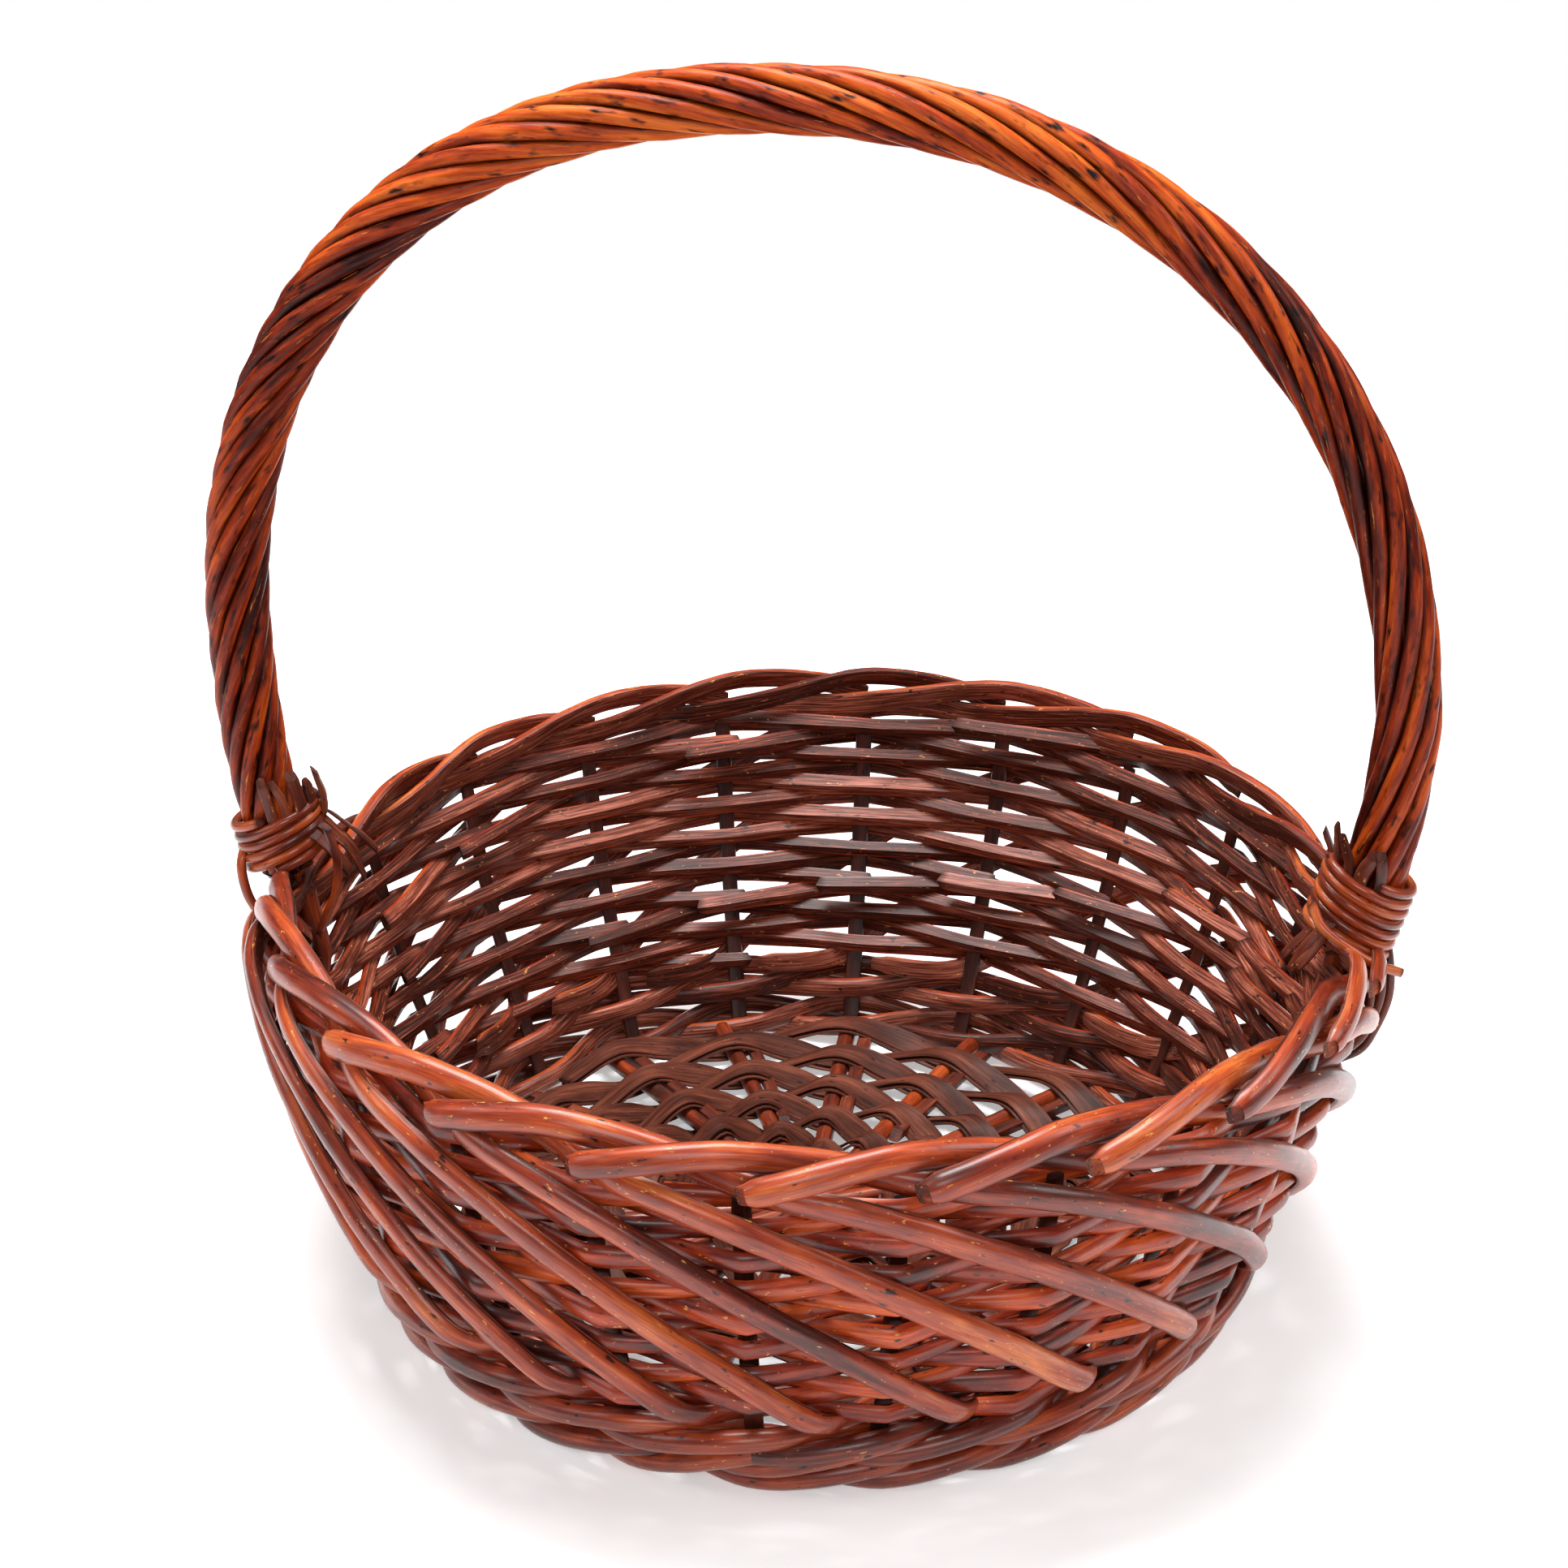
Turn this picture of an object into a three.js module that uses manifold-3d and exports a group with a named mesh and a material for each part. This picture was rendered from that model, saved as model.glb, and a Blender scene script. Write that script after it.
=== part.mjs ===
// Round willow basket with one arched handle. Millimetres, +Z up, floor at z = 0.
// The handle stands in the XZ plane and the basket's front faces -Y.
import * as THREE from 'three';
import { mergeVertices } from 'three/addons/utils/BufferGeometryUtils.js';
import Module from 'manifold-3d';

const wasm = await Module();
wasm.setup();

// Clearances
const touchGap = 0.4;
const rowGap = 1.2;
const strandGap = 0.8;
const footGap = 1;
const baseSplitGap = 1.6;
const baseFootGap = 1.2;

// Bowl, measured on the line that the stakes stand on
const stakeCount = 22;
const frontCrowdingShare = 0.09;
const footRadius = 153;
const rimRadius = 200;
const rimHeight = 157;
const bulgeDepth = 7;

// The rim dips where the handle passes through it
const legDipDepth = 12.5;
const dipWidth = 42;

// Stakes: thin flat splits
const stakeWidth = 6;
const stakeThickness = 2.2;
const stakeFloorGap = 2;
const stakeSegments = 5;

// Foot: thick round rods in plain weave round the stakes
const footRodDiameter = 9;
const footRowOverlap = 0.2;
const footRows = 4;
const footSides = 6;
const footKinkDepth = 1.5;

// Wall: two split rods that chase each other round the stakes
const strandHeight = 5.7;
const strandThickness = 4;
const strandRoundShare = 0.55;
const strandKinkDepth = 1;

// Border: cut rods that lie on the rim, roll over it and run down the wall outside
const borderRodWidth = 10;
const borderRodThickness = 5.2;
const borderRoundShare = 0.64;
const borderReachDepth = 10.6;
const borderDepth = 23;
const borderPhaseShare = -0.02;
const borderSwayShare = 0.2;
const borderRunSteps = 7;

// Base: round sticks from a hub, with a flat split woven over and under them
const baseArms = 17;
const baseTurnShare = 0.5;
const baseStickRadius = 2.9;
const baseSplitWidth = 11;
const baseSplitThickness = 2.5;
const baseSplitPitch = 13;
const baseCrownHeight = 2;
const baseEdgeHeight = 9.5;
const baseHubRadius = 24;
const baseSplitStartRadius = 46;
const baseSides = 6;
const baseStickShares = [0.1, 0.4, 0.7, 1];

// Handle: a core bow with rods twisted round it
const handleSpreadWidth = 12;
const handleFootSpreadWidth = 2;
const handleSinkDepth = 4;
const handleShoulderHeight = 230;
const handleTopHeight = 445;
const handleLeanWidth = 12;
const handleRoundness = 2.15;
const handleRods = 8;
const handleCoreRadius = 4.7;
const handleRodInnerRadius = 6.3;
const handleRodOuterRadius = 11.6;
const handleRodRoundShare = 0.62;
const handleTwistPitch = 155;
const handleSteps = 42;
const archSteps = 24;
const legSteps = 4;
const coreSides = 6;
const tongueWidth = 7;
const tongueThickness = 3;
const tongueFootHeight = 60;

// Bindings: thin rods wound round the handle's feet
const bindingRodRadius = 1.9;
const bindingPitch = 4.7;
const bindingSlantHeight = 3;
const bindingLeftTurns = 5;
const bindingRightTurns = 7;
const bindingSteps = 12;
const bindingSides = 5;

// Worked-out sizes
const fullTurn = 2 * Math.PI;
const quarterTurn = Math.PI / 2;
const stakeStep = fullTurn / stakeCount;
const strandReach = (stakeThickness + strandThickness) / 2 + strandGap;
const footRodFlat = (footRodDiameter / 2) * Math.cos(Math.PI / footSides);
const footReach = (stakeThickness + footRodDiameter) / 2 + footGap;
const footRowPitch = 2 * footRodFlat - footRowOverlap;
const footHeight = footRows * footRowPitch + footRowOverlap;
const wallRowPitch = strandHeight + rowGap;
const wallFirstRow = footHeight + touchGap + strandHeight / 2;
const wallRoom = rimHeight - borderDepth - wallFirstRow - strandHeight / 2;
const wallTurns = Math.floor(wallRoom / (2 * wallRowPitch));
const wallTop = wallFirstRow + 2 * wallTurns * wallRowPitch + strandHeight / 2;
const borderEndHeight = footHeight + borderRodWidth;
const handleHalfWidth = rimRadius + handleSpreadWidth;
const handleFootHalfWidth = rimRadius + handleFootSpreadWidth;
const handleFootHeight = rimHeight - handleSinkDepth;
const up = new THREE.Vector3(0, 0, 1);

const willow = {
  stake: { color: 0x5b2a20, roughness: 0.6 },
  foot: { color: 0x8a3a1c, roughness: 0.42 },
  wall: { color: 0x7a3526, roughness: 0.5 },
  border: { color: 0x9a3f1e, roughness: 0.38 },
  baseStick: { color: 0x9c431c, roughness: 0.45 },
  baseSplit: { color: 0x5a3026, roughness: 0.62 },
  core: { color: 0x8c3413, roughness: 0.4 },
  handle: { color: 0xb0521f, roughness: 0.34 },
  binding: { color: 0xa24a22, roughness: 0.36 },
};

const basket = new THREE.Group();

function addPiece(name, geometry, finish) {
  const material = new THREE.MeshStandardMaterial({ metalness: 0, ...finish });
  const mesh = new THREE.Mesh(geometry, material);
  mesh.name = name;
  basket.add(mesh);
}

// Rings of points, one per station, joined into one closed body
function loft(rings, closed = false) {
  const sides = rings[0].length;
  const index = [];
  const last = closed ? rings.length : rings.length - 1;
  for (let i = 0; i < last; i += 1) {
    const here = i * sides;
    const next = ((i + 1) % rings.length) * sides;
    for (let j = 0; j < sides; j += 1) {
      const k = (j + 1) % sides;
      if (j < sides / 2) {
        index.push(here + j, here + k, next + k, here + j, next + k, next + j);
      } else {
        index.push(here + j, here + k, next + j, here + k, next + k, next + j);
      }
    }
  }
  if (!closed) {
    const end = (rings.length - 1) * sides;
    for (let j = 1; j < sides - 1; j += 1) {
      index.push(0, j + 1, j, end, end + j, end + j + 1);
    }
  }
  const points = rings.flat();
  turnOutwards(points, index);
  const geometry = new THREE.BufferGeometry().setFromPoints(points);
  geometry.setIndex(index);
  geometry.computeVertexNormals();
  return geometry;
}

function turnOutwards(points, index) {
  const centre = points[0];
  let volume = 0;
  for (let i = 0; i < index.length; i += 3) {
    const [a, b, c] = [0, 1, 2].map((j) => points[index[i + j]].clone().sub(centre));
    volume += a.dot(b.cross(c));
  }
  if (volume < 0) {
    index.reverse();
  }
}

// A section's points, given as [across, outwards], placed at a station
function placeSection(at, across, outwards, section) {
  const place = ([x, y]) => at.clone().addScaledVector(across, x).addScaledVector(outwards, y);
  return section.map(place);
}

// Half-round split: flat face inside, narrower outside
function splitSection(width, thickness, roundShare = 1) {
  const flat = width / 2;
  const crown = flat * roundShare;
  const half = thickness / 2;
  return [[-flat, -half], [flat, -half], [crown, half], [-crown, half]];
}

// Round rod with its corners on the radius and flats at both sides across
function roundSection(radius, sides) {
  return Array.from({ length: sides }, (_, j) => {
    const angle = ((j + 0.5) / sides) * fullTurn;
    return [radius * Math.cos(angle), radius * Math.sin(angle)];
  });
}

// Bowl surface: turns are counted evenly by stake and crowd together at the front
function azimuth(turn) {
  return turn - frontCrowdingShare * Math.sin(turn);
}

// The turn that lies at an azimuth, closed in on step by step
function turnOf(angle, steps = 20) {
  let turn = angle;
  for (let i = 0; i < steps; i += 1) {
    turn = angle + frontCrowdingShare * Math.sin(turn);
  }
  return turn;
}

function bowlRadius(height) {
  const share = height / rimHeight;
  return footRadius + (rimRadius - footRadius) * share + bulgeDepth * 4 * share * (1 - share);
}

function outwardsAt(turn) {
  const angle = azimuth(turn);
  return new THREE.Vector3(Math.sin(angle), -Math.cos(angle), 0);
}

function dipAt(turn) {
  const fromLeg = Math.acos(Math.abs(outwardsAt(turn).x)) * rimRadius;
  return legDipDepth * Math.exp(-((fromLeg / dipWidth) ** 2));
}

// Directions up along the wall and square out of it
function wallDirections(turn, height) {
  const share = height / rimHeight;
  const slope = ((rimRadius - footRadius) + bulgeDepth * 4 * (1 - 2 * share)) / rimHeight;
  const outwards = outwardsAt(turn);
  const across = up.clone().addScaledVector(outwards, slope).normalize();
  const square = outwards.clone().addScaledVector(up, -slope).normalize();
  return { across, square };
}

function bowlPoint(turn, height, reach) {
  const point = outwardsAt(turn).multiplyScalar(bowlRadius(height) + reach);
  const dipShare = Math.max(height - footHeight, 0) / (rimHeight - footHeight);
  point.z = height - dipAt(turn) * dipShare;
  return point;
}

// Handle's feet stand beside the stakes nearest to the middle of each side
const legTurns = [turnOf(-quarterTurn), turnOf(quarterTurn)];

// The turns at which a woven rod passes a stake: two where it also passes a leg
function flatPast(stakeIndex, height) {
  const turn = stakeIndex * stakeStep;
  const stakeHalf = (stakeWidth / 2 + touchGap) / bowlRadius(height);
  const legHalf = (tongueWidth / 2 + touchGap) / bowlRadius(height);
  for (const leg of legTurns) {
    const legTurn = leg + Math.round((turn - leg) / fullTurn) * fullTurn;
    if (Math.abs(legTurn - turn) < stakeStep / 2 && height > tongueFootHeight - strandHeight) {
      const first = Math.min(turn - stakeHalf, legTurn - legHalf);
      const last = Math.max(turn + stakeHalf, legTurn + legHalf);
      return [first, last];
    }
  }
  return [turn];
}

// One rod woven in and out of the stakes, from its first stake to its last
function wovenRings(first, count, heightOf, reach, kink, section, outsideOnEven, upright = false) {
  const rings = [];
  const place = (turn, height, side) => {
    const at = bowlPoint(turn, height, side > 0 ? reach + kink : -reach);
    const { across, square } = wallDirections(turn, height);
    const directions = upright ? [up, outwardsAt(turn)] : [across, square];
    rings.push(placeSection(at, ...directions, section));
  };
  for (let i = 0; i < count; i += 1) {
    const stakeIndex = first + i;
    const side = (Math.abs(stakeIndex % 2) === 0) === outsideOnEven ? 1 : -1;
    const height = heightOf(i);
    flatPast(stakeIndex, height).forEach((turn) => place(turn, height, side));
  }
  return rings;
}

// Booleans
function toSolid(geometry) {
  const bare = geometry.clone();
  bare.deleteAttribute('normal');
  bare.deleteAttribute('uv');
  const merged = mergeVertices(bare);
  const vertProperties = Float32Array.from(merged.attributes.position.array);
  const triVerts = Uint32Array.from(merged.index.array);
  return new wasm.Manifold(new wasm.Mesh({ numProp: 3, vertProperties, triVerts }));
}

function fromSolid(solid) {
  const mesh = solid.getMesh();
  const geometry = new THREE.BufferGeometry();
  geometry.setAttribute('position', new THREE.BufferAttribute(mesh.vertProperties, 3));
  geometry.setIndex(new THREE.BufferAttribute(mesh.triVerts, 1));
  geometry.computeVertexNormals();
  return geometry;
}

function fuse(geometries) {
  return fromSolid(geometries.map(toSolid).reduce((sum, solid) => sum.add(solid)));
}

// Names such as stake_07
function numbered(name, i) {
  return `${name}_${String(i + 1).padStart(2, '0')}`;
}

function makeStake(i) {
  const turn = i * stakeStep;
  const sideways = new THREE.Vector3().crossVectors(up, outwardsAt(turn));
  const section = splitSection(stakeWidth, stakeThickness);
  const rings = [];
  for (let j = 0; j <= stakeSegments; j += 1) {
    const height = stakeFloorGap + (wallTop - stakeFloorGap) * (j / stakeSegments);
    const { square } = wallDirections(turn, height);
    rings.push(placeSection(bowlPoint(turn, height, 0), sideways, square, section));
  }
  return loft(rings);
}

function makeFootWale() {
  const section = roundSection(footRodDiameter / 2, footSides);
  const rounds = [];
  for (let row = 0; row < footRows; row += 1) {
    const height = footRodFlat + row * footRowPitch;
    const outsideOnEven = row % 2 === 0;
    const way = [0, stakeCount, () => height, footReach, footKinkDepth];
    rounds.push(loft(wovenRings(...way, section, outsideOnEven, true), true));
  }
  return fuse(rounds);
}

function makeWeaver(first, outsideOnEven) {
  const count = wallTurns * stakeCount + 1;
  const heightOf = (i) => wallFirstRow + (2 * wallRowPitch * i) / stakeCount;
  const section = splitSection(strandHeight, strandThickness, strandRoundShare);
  return loft(wovenRings(first, count, heightOf, strandReach, strandKinkDepth, section, outsideOnEven));
}

// A border rod's way over the rim:
// [stake spaces from its tip, share of reach, share of depth below the rim, roll]
const borderWayShares = [
  [0, 1.56, 0.41, 0],
  [0.25, 1.56, 0.26, 0.14],
  [0.45, 1.38, 0.068, 0.52],
  [0.7, 0.82, -0.089, 1.05],
  [0.95, 0.05, -0.068, 0.87],
  [1.2, -0.66, 0.068, 0.26],
  [1.5, -0.82, 0.26, 0],
  [1.75, -0.44, 0.41, -0.17],
  [2, 0.27, 0.546, -0.26],
  [2.25, 0.9, 0.655, -0.3],
  [2.6, 1, 0.887, -0.3],
];

// Its run down the wall goes on from there: where it starts, and where it ends above the foot
const borderRunShares = { start: [3, 1, 1.263, -0.3], endSpaces: 5.6, endRoll: -0.35 };

function borderWay() {
  const { start, endSpaces, endRoll } = borderRunShares;
  const end = [endSpaces, 1, (rimHeight - borderEndHeight) / borderDepth, endRoll];
  const way = [...borderWayShares];
  for (let j = 0; j < borderRunSteps; j += 1) {
    const share = j / (borderRunSteps - 1);
    way.push(start.map((value, k) => value + (end[k] - value) * share));
  }
  return way;
}

function makeBorderRod(i) {
  const section = splitSection(borderRodWidth, borderRodThickness, borderRoundShare);
  const sway = borderPhaseShare + borderSwayShare * Math.sin(i * stakeStep);
  const tipTurn = (i + sway) * stakeStep;
  const rings = borderWay().map(([spaces, reachShare, depthShare, roll]) => {
    const turn = tipTurn + spaces * stakeStep;
    const outwards = outwardsAt(turn);
    const height = rimHeight - depthShare * borderDepth;
    const at = bowlPoint(turn, height, reachShare * borderReachDepth);
    const axis = new THREE.Vector3().crossVectors(up, outwards);
    const across = up.clone().applyAxisAngle(axis, -roll);
    return placeSection(at, across, outwards.clone().applyAxisAngle(axis, -roll), section);
  });
  return loft(rings);
}

// Base: nearly flat, its edge just inside the foot
const baseEdgeRadius = bowlRadius(baseEdgeHeight) - footReach - footRodDiameter / 2 - baseFootGap;
const baseSplitReach = baseStickRadius + baseSplitThickness / 2 + baseSplitGap;

function baseAngle(i) {
  return ((i + baseTurnShare) / baseArms) * fullTurn;
}

function basePoint(angle, radius, lift) {
  const share = radius / baseEdgeRadius;
  const height = baseEdgeHeight + baseCrownHeight * (1 - share * share) + lift;
  return new THREE.Vector3(radius * Math.sin(angle), -radius * Math.cos(angle), height);
}

function makeBaseSticks() {
  const section = roundSection(baseStickRadius, baseSides);
  const arms = [];
  for (let i = 0; i < baseArms; i += 1) {
    const angle = baseAngle(i);
    const outwards = new THREE.Vector3(Math.sin(angle), -Math.cos(angle), 0);
    const sideways = new THREE.Vector3().crossVectors(up, outwards);
    const rings = baseStickShares.map((share) => {
      const at = basePoint(angle, share * baseEdgeRadius, 0);
      return placeSection(at, sideways, up, section);
    });
    arms.push(loft(rings));
  }
  const hub = new THREE.CylinderGeometry(baseHubRadius, baseHubRadius, 2 * baseStickRadius, baseArms);
  hub.rotateX(quarterTurn);
  hub.translate(0, 0, basePoint(0, baseHubRadius / 2, 0).z);
  return fuse([hub, ...arms]);
}

function makeBaseSplit() {
  const section = splitSection(baseSplitWidth, baseSplitThickness);
  const lastRadius = baseEdgeRadius - baseSplitWidth / 2 - touchGap;
  const count = Math.floor(((lastRadius - baseSplitStartRadius) / baseSplitPitch) * baseArms);
  const rings = [];
  for (let i = 0; i <= count; i += 1) {
    const angle = baseAngle(i);
    const radius = baseSplitStartRadius + (baseSplitPitch * i) / baseArms;
    const lift = i % 2 === 0 ? baseSplitReach : -baseSplitReach;
    const outwards = new THREE.Vector3(Math.sin(angle), -Math.cos(angle), 0);
    rings.push(placeSection(basePoint(angle, radius, lift), outwards, up, section));
  }
  return loft(rings);
}

// Handle's middle line, in the XZ plane: two legs and a full round arch
function archPoint(share) {
  const angle = Math.PI * (1 - share);
  const power = 2 / handleRoundness;
  const cos = Math.cos(angle);
  const sin = Math.max(Math.sin(angle), 0);
  const rise = sin ** power;
  const x = Math.sign(cos) * Math.abs(cos) ** power * handleHalfWidth - handleLeanWidth * rise;
  return new THREE.Vector3(x, 0, handleShoulderHeight + (handleTopHeight - handleShoulderHeight) * rise);
}

function legPoint(side, height) {
  const share = (handleShoulderHeight - height) / (handleShoulderHeight - rimHeight);
  const x = handleHalfWidth - (handleHalfWidth - handleFootHalfWidth) * share * share;
  return new THREE.Vector3(side * x, 0, height);
}

function makeHandleCurve() {
  const left = [];
  const right = [];
  for (let i = 0; i < legSteps; i += 1) {
    const height = handleFootHeight + (i / legSteps) * (handleShoulderHeight - handleFootHeight);
    left.push(legPoint(-1, height));
    right.unshift(legPoint(1, height));
  }
  const arch = Array.from({ length: archSteps + 1 }, (_, i) => archPoint(i / archSteps));
  return new THREE.CatmullRomCurve3([...left, ...arch, ...right]);
}

const handleCurve = makeHandleCurve();
const handleLength = handleCurve.getLength();
const depth = new THREE.Vector3(0, 1, 0);

// The plane across the handle at a share of its length
function handleFrame(share) {
  const at = handleCurve.getPointAt(share);
  const along = handleCurve.getTangentAt(share);
  return { at, along, outwards: new THREE.Vector3().crossVectors(along, depth).negate() };
}

function makeHandleRod(i) {
  const wedge = Math.PI / handleRods;
  const corner = (radius, angle) => [radius * Math.sin(angle), radius * Math.cos(angle)];
  const innerAngle = wedge - touchGap / handleRodInnerRadius;
  const outerAngle = wedge * handleRodRoundShare;
  const wedgeSection = [
    corner(handleRodInnerRadius, -innerAngle),
    corner(handleRodInnerRadius, innerAngle),
    corner(handleRodOuterRadius, outerAngle),
    corner(handleRodOuterRadius, -outerAngle),
  ];
  const rings = [];
  for (let j = 0; j <= handleSteps; j += 1) {
    const share = j / handleSteps;
    const { at, outwards } = handleFrame(share);
    const twist = fullTurn * (i / handleRods + (share * handleLength) / handleTwistPitch);
    const cos = Math.cos(twist);
    const sin = Math.sin(twist);
    const across = depth.clone().multiplyScalar(cos).addScaledVector(outwards, -sin);
    const radial = outwards.clone().multiplyScalar(cos).addScaledVector(depth, sin);
    rings.push(placeSection(at, across, radial, wedgeSection));
  }
  return loft(rings);
}

// The core's shaved ends stand between the border rods and down beside a stake
function tongueRings(side, section) {
  const turn = side > 0 ? legTurns[1] : legTurns[0];
  const outwards = new THREE.Vector3(side, 0, 0);
  const heights = [tongueFootHeight, (tongueFootHeight + rimHeight) / 2, rimHeight - borderRodWidth];
  return heights.map((height) => placeSection(bowlPoint(turn, height, 0), depth, outwards, section));
}

function makeHandleCore() {
  const round = roundSection(handleCoreRadius, coreSides);
  const widest = 2 * Math.max(...round.map(([x]) => x));
  const thickest = 2 * Math.max(...round.map(([, y]) => y));
  const tongue = round.map(([x, y]) => [(x / widest) * tongueWidth, (y / thickest) * tongueThickness]);
  const rings = tongueRings(-1, tongue);
  for (let j = 0; j <= handleSteps; j += 1) {
    const { at, outwards } = handleFrame(j / handleSteps);
    rings.push(placeSection(at, depth, outwards, round));
  }
  rings.push(...tongueRings(1, tongue).reverse());
  return loft(rings);
}

// Bindings
const bindingRadius = handleRodOuterRadius + touchGap + bindingRodRadius + touchGap;
const bindingStart = bindingSlantHeight + bindingRodRadius;

function bindingPoints(fromLeft, turns) {
  const steps = turns * bindingSteps;
  const points = [];
  for (let j = 0; j <= steps; j += 1) {
    const angle = (j / bindingSteps) * fullTurn;
    const share = (bindingStart + (bindingPitch * j) / bindingSteps) / handleLength;
    const { at, along, outwards } = handleFrame(fromLeft ? share : 1 - share);
    const point = at.clone().addScaledVector(depth, -bindingRadius * Math.cos(angle));
    point.addScaledVector(outwards, bindingRadius * Math.sin(angle));
    points.push(point.addScaledVector(along, (fromLeft ? 1 : -1) * bindingSlantHeight * Math.sin(angle)));
  }
  return points;
}

function extendEnds(points, length) {
  const beyond = (end, before) => end.clone().sub(before).setLength(length).add(end);
  const last = points.length - 1;
  return [beyond(points[0], points[1]), ...points, beyond(points[last], points[last - 1])];
}

function tubeRings(points, radius, sides) {
  const section = roundSection(radius, sides);
  return points.map((point, j) => {
    const before = points[Math.max(j - 1, 0)];
    const after = points[Math.min(j + 1, points.length - 1)];
    const along = after.clone().sub(before).normalize();
    const nearest = handleCurve.getPointAt(point.x < 0 ? 0 : 1);
    const outwards = point.clone().sub(nearest);
    outwards.addScaledVector(along, -outwards.dot(along)).normalize();
    return placeSection(point, new THREE.Vector3().crossVectors(along, outwards), outwards, section);
  });
}

// Least gap between turns of one winding, measured on its points
function leastGap(points, radius) {
  let least = Infinity;
  for (let i = 0; i < points.length; i += 1) {
    for (let j = i + bindingSteps / 2; j < points.length; j += 1) {
      least = Math.min(least, points[i].distanceTo(points[j]) - 2 * radius);
    }
  }
  return least;
}

function makeBinding(name, fromLeft, turns) {
  const points = extendEnds(bindingPoints(fromLeft, turns), 2 * bindingRodRadius);
  console.log(`${name}: least gap to itself ${leastGap(points, bindingRodRadius).toFixed(2)} mm`);
  addPiece(name, loft(tubeRings(points, bindingRodRadius, bindingSides)), willow.binding);
}

for (let i = 0; i < stakeCount; i += 1) {
  addPiece(numbered('stake', i), makeStake(i), willow.stake);
}
addPiece('foot_wale', makeFootWale(), willow.foot);
addPiece('weaver_a', makeWeaver(0, true), willow.wall);
addPiece('weaver_b', makeWeaver(stakeCount / 2, false), willow.wall);
for (let i = 0; i < stakeCount; i += 1) {
  addPiece(numbered('border_rod', i), makeBorderRod(i), willow.border);
}
addPiece('base_sticks', makeBaseSticks(), willow.baseStick);
addPiece('base_weaver', makeBaseSplit(), willow.baseSplit);
addPiece('handle_core', makeHandleCore(), willow.core);
for (let i = 0; i < handleRods; i += 1) {
  addPiece(`handle_rod_${i + 1}`, makeHandleRod(i), willow.handle);
}
makeBinding('binding_left', true, bindingLeftTurns);
makeBinding('binding_right', false, bindingRightTurns);

export default basket;
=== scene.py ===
# Woven willow basket with a fixed twisted handle, in metres, +Z up, front towards -Y
import math
import random

import bpy
from mathutils import Matrix, Vector


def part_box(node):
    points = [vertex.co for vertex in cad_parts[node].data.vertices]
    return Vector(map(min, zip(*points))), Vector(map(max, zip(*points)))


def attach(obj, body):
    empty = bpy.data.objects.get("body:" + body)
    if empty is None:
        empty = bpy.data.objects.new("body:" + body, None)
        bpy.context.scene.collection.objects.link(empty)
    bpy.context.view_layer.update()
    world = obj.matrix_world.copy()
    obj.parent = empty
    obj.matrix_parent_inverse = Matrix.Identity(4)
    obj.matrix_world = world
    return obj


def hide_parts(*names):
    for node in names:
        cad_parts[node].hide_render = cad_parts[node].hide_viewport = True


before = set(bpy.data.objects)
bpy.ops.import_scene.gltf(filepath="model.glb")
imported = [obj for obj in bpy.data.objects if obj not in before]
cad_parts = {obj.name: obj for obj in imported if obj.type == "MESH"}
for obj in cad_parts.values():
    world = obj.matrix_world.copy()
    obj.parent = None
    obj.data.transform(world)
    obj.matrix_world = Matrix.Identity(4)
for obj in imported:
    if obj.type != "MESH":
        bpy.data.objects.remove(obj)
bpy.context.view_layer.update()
mm = 0.001  # the dictionaries below hold millimetres
fullTurn = 2 * math.pi
print("frame loaded,", len(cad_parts), "nodes")


def addObject(name, data):
    added = bpy.data.objects.new(name, data)
    bpy.context.scene.collection.objects.link(added)
    return added


# Camera: the photographer stood a little to the right and looked down into the bowl
camera = {
    "azimuth": 6.925,
    "elevation": 24.942,
    "roll": 0.229,
    "distance": 1161.2,
    "target": (-10.6, -1.5, 193.6),
    "lens": 72.67,
    "sensor": 36,
    "nearest": 0.05,  # clipping, in metres
    "farthest": 30,
}


def addCamera():
    data = bpy.data.cameras.new("camera")
    data.lens = camera["lens"]
    data.sensor_width = camera["sensor"]
    data.sensor_fit = "HORIZONTAL"
    data.clip_start = camera["nearest"]
    data.clip_end = camera["farthest"]
    holder = addObject("camera", data)
    azimuth = math.radians(camera["azimuth"])
    elevation = math.radians(camera["elevation"])
    back = Vector((math.sin(azimuth) * math.cos(elevation), -math.cos(azimuth) * math.cos(elevation),
                   math.sin(elevation)))
    right = Vector((math.cos(azimuth), math.sin(azimuth), 0))
    turned = Matrix((right, back.cross(right), back)).transposed().to_4x4()
    roll = Matrix.Rotation(math.radians(camera["roll"]), 4, "Z")
    place = (Vector(camera["target"]) + back * camera["distance"]) * mm
    holder.matrix_world = Matrix.Translation(place) @ turned @ roll
    bpy.context.scene.camera = holder


addCamera()


# Node tools
def linearColour(hexColour):
    channels = [int(hexColour[i:i + 2], 16) / 255 for i in (1, 3, 5)]
    return (*[c / 12.92 if c <= 0.04045 else ((c + 0.055) / 1.055) ** 2.4 for c in channels], 1)


# inputs are in a dictionary by name, or in a list by place; settings are the node's own options
def addNode(tree, kind, inputs=(), give=None, **settings):
    node = tree.nodes.new(kind)
    for name, value in settings.items():
        setattr(node, name, value)
    for key, value in inputs.items() if isinstance(inputs, dict) else enumerate(inputs):
        named = (s for s in node.inputs if s.name == key and s.enabled)
        socket = node.inputs[key] if isinstance(key, int) else next(named)
        if isinstance(value, bpy.types.NodeSocket):
            tree.links.new(value, socket)
        else:
            socket.default_value = value
    return next((s for s in node.outputs if s.enabled and give in (None, s.name)), None)


def emptiedTree(owner):
    owner.use_nodes = True
    owner.node_tree.nodes.clear()
    return owner.node_tree


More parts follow.
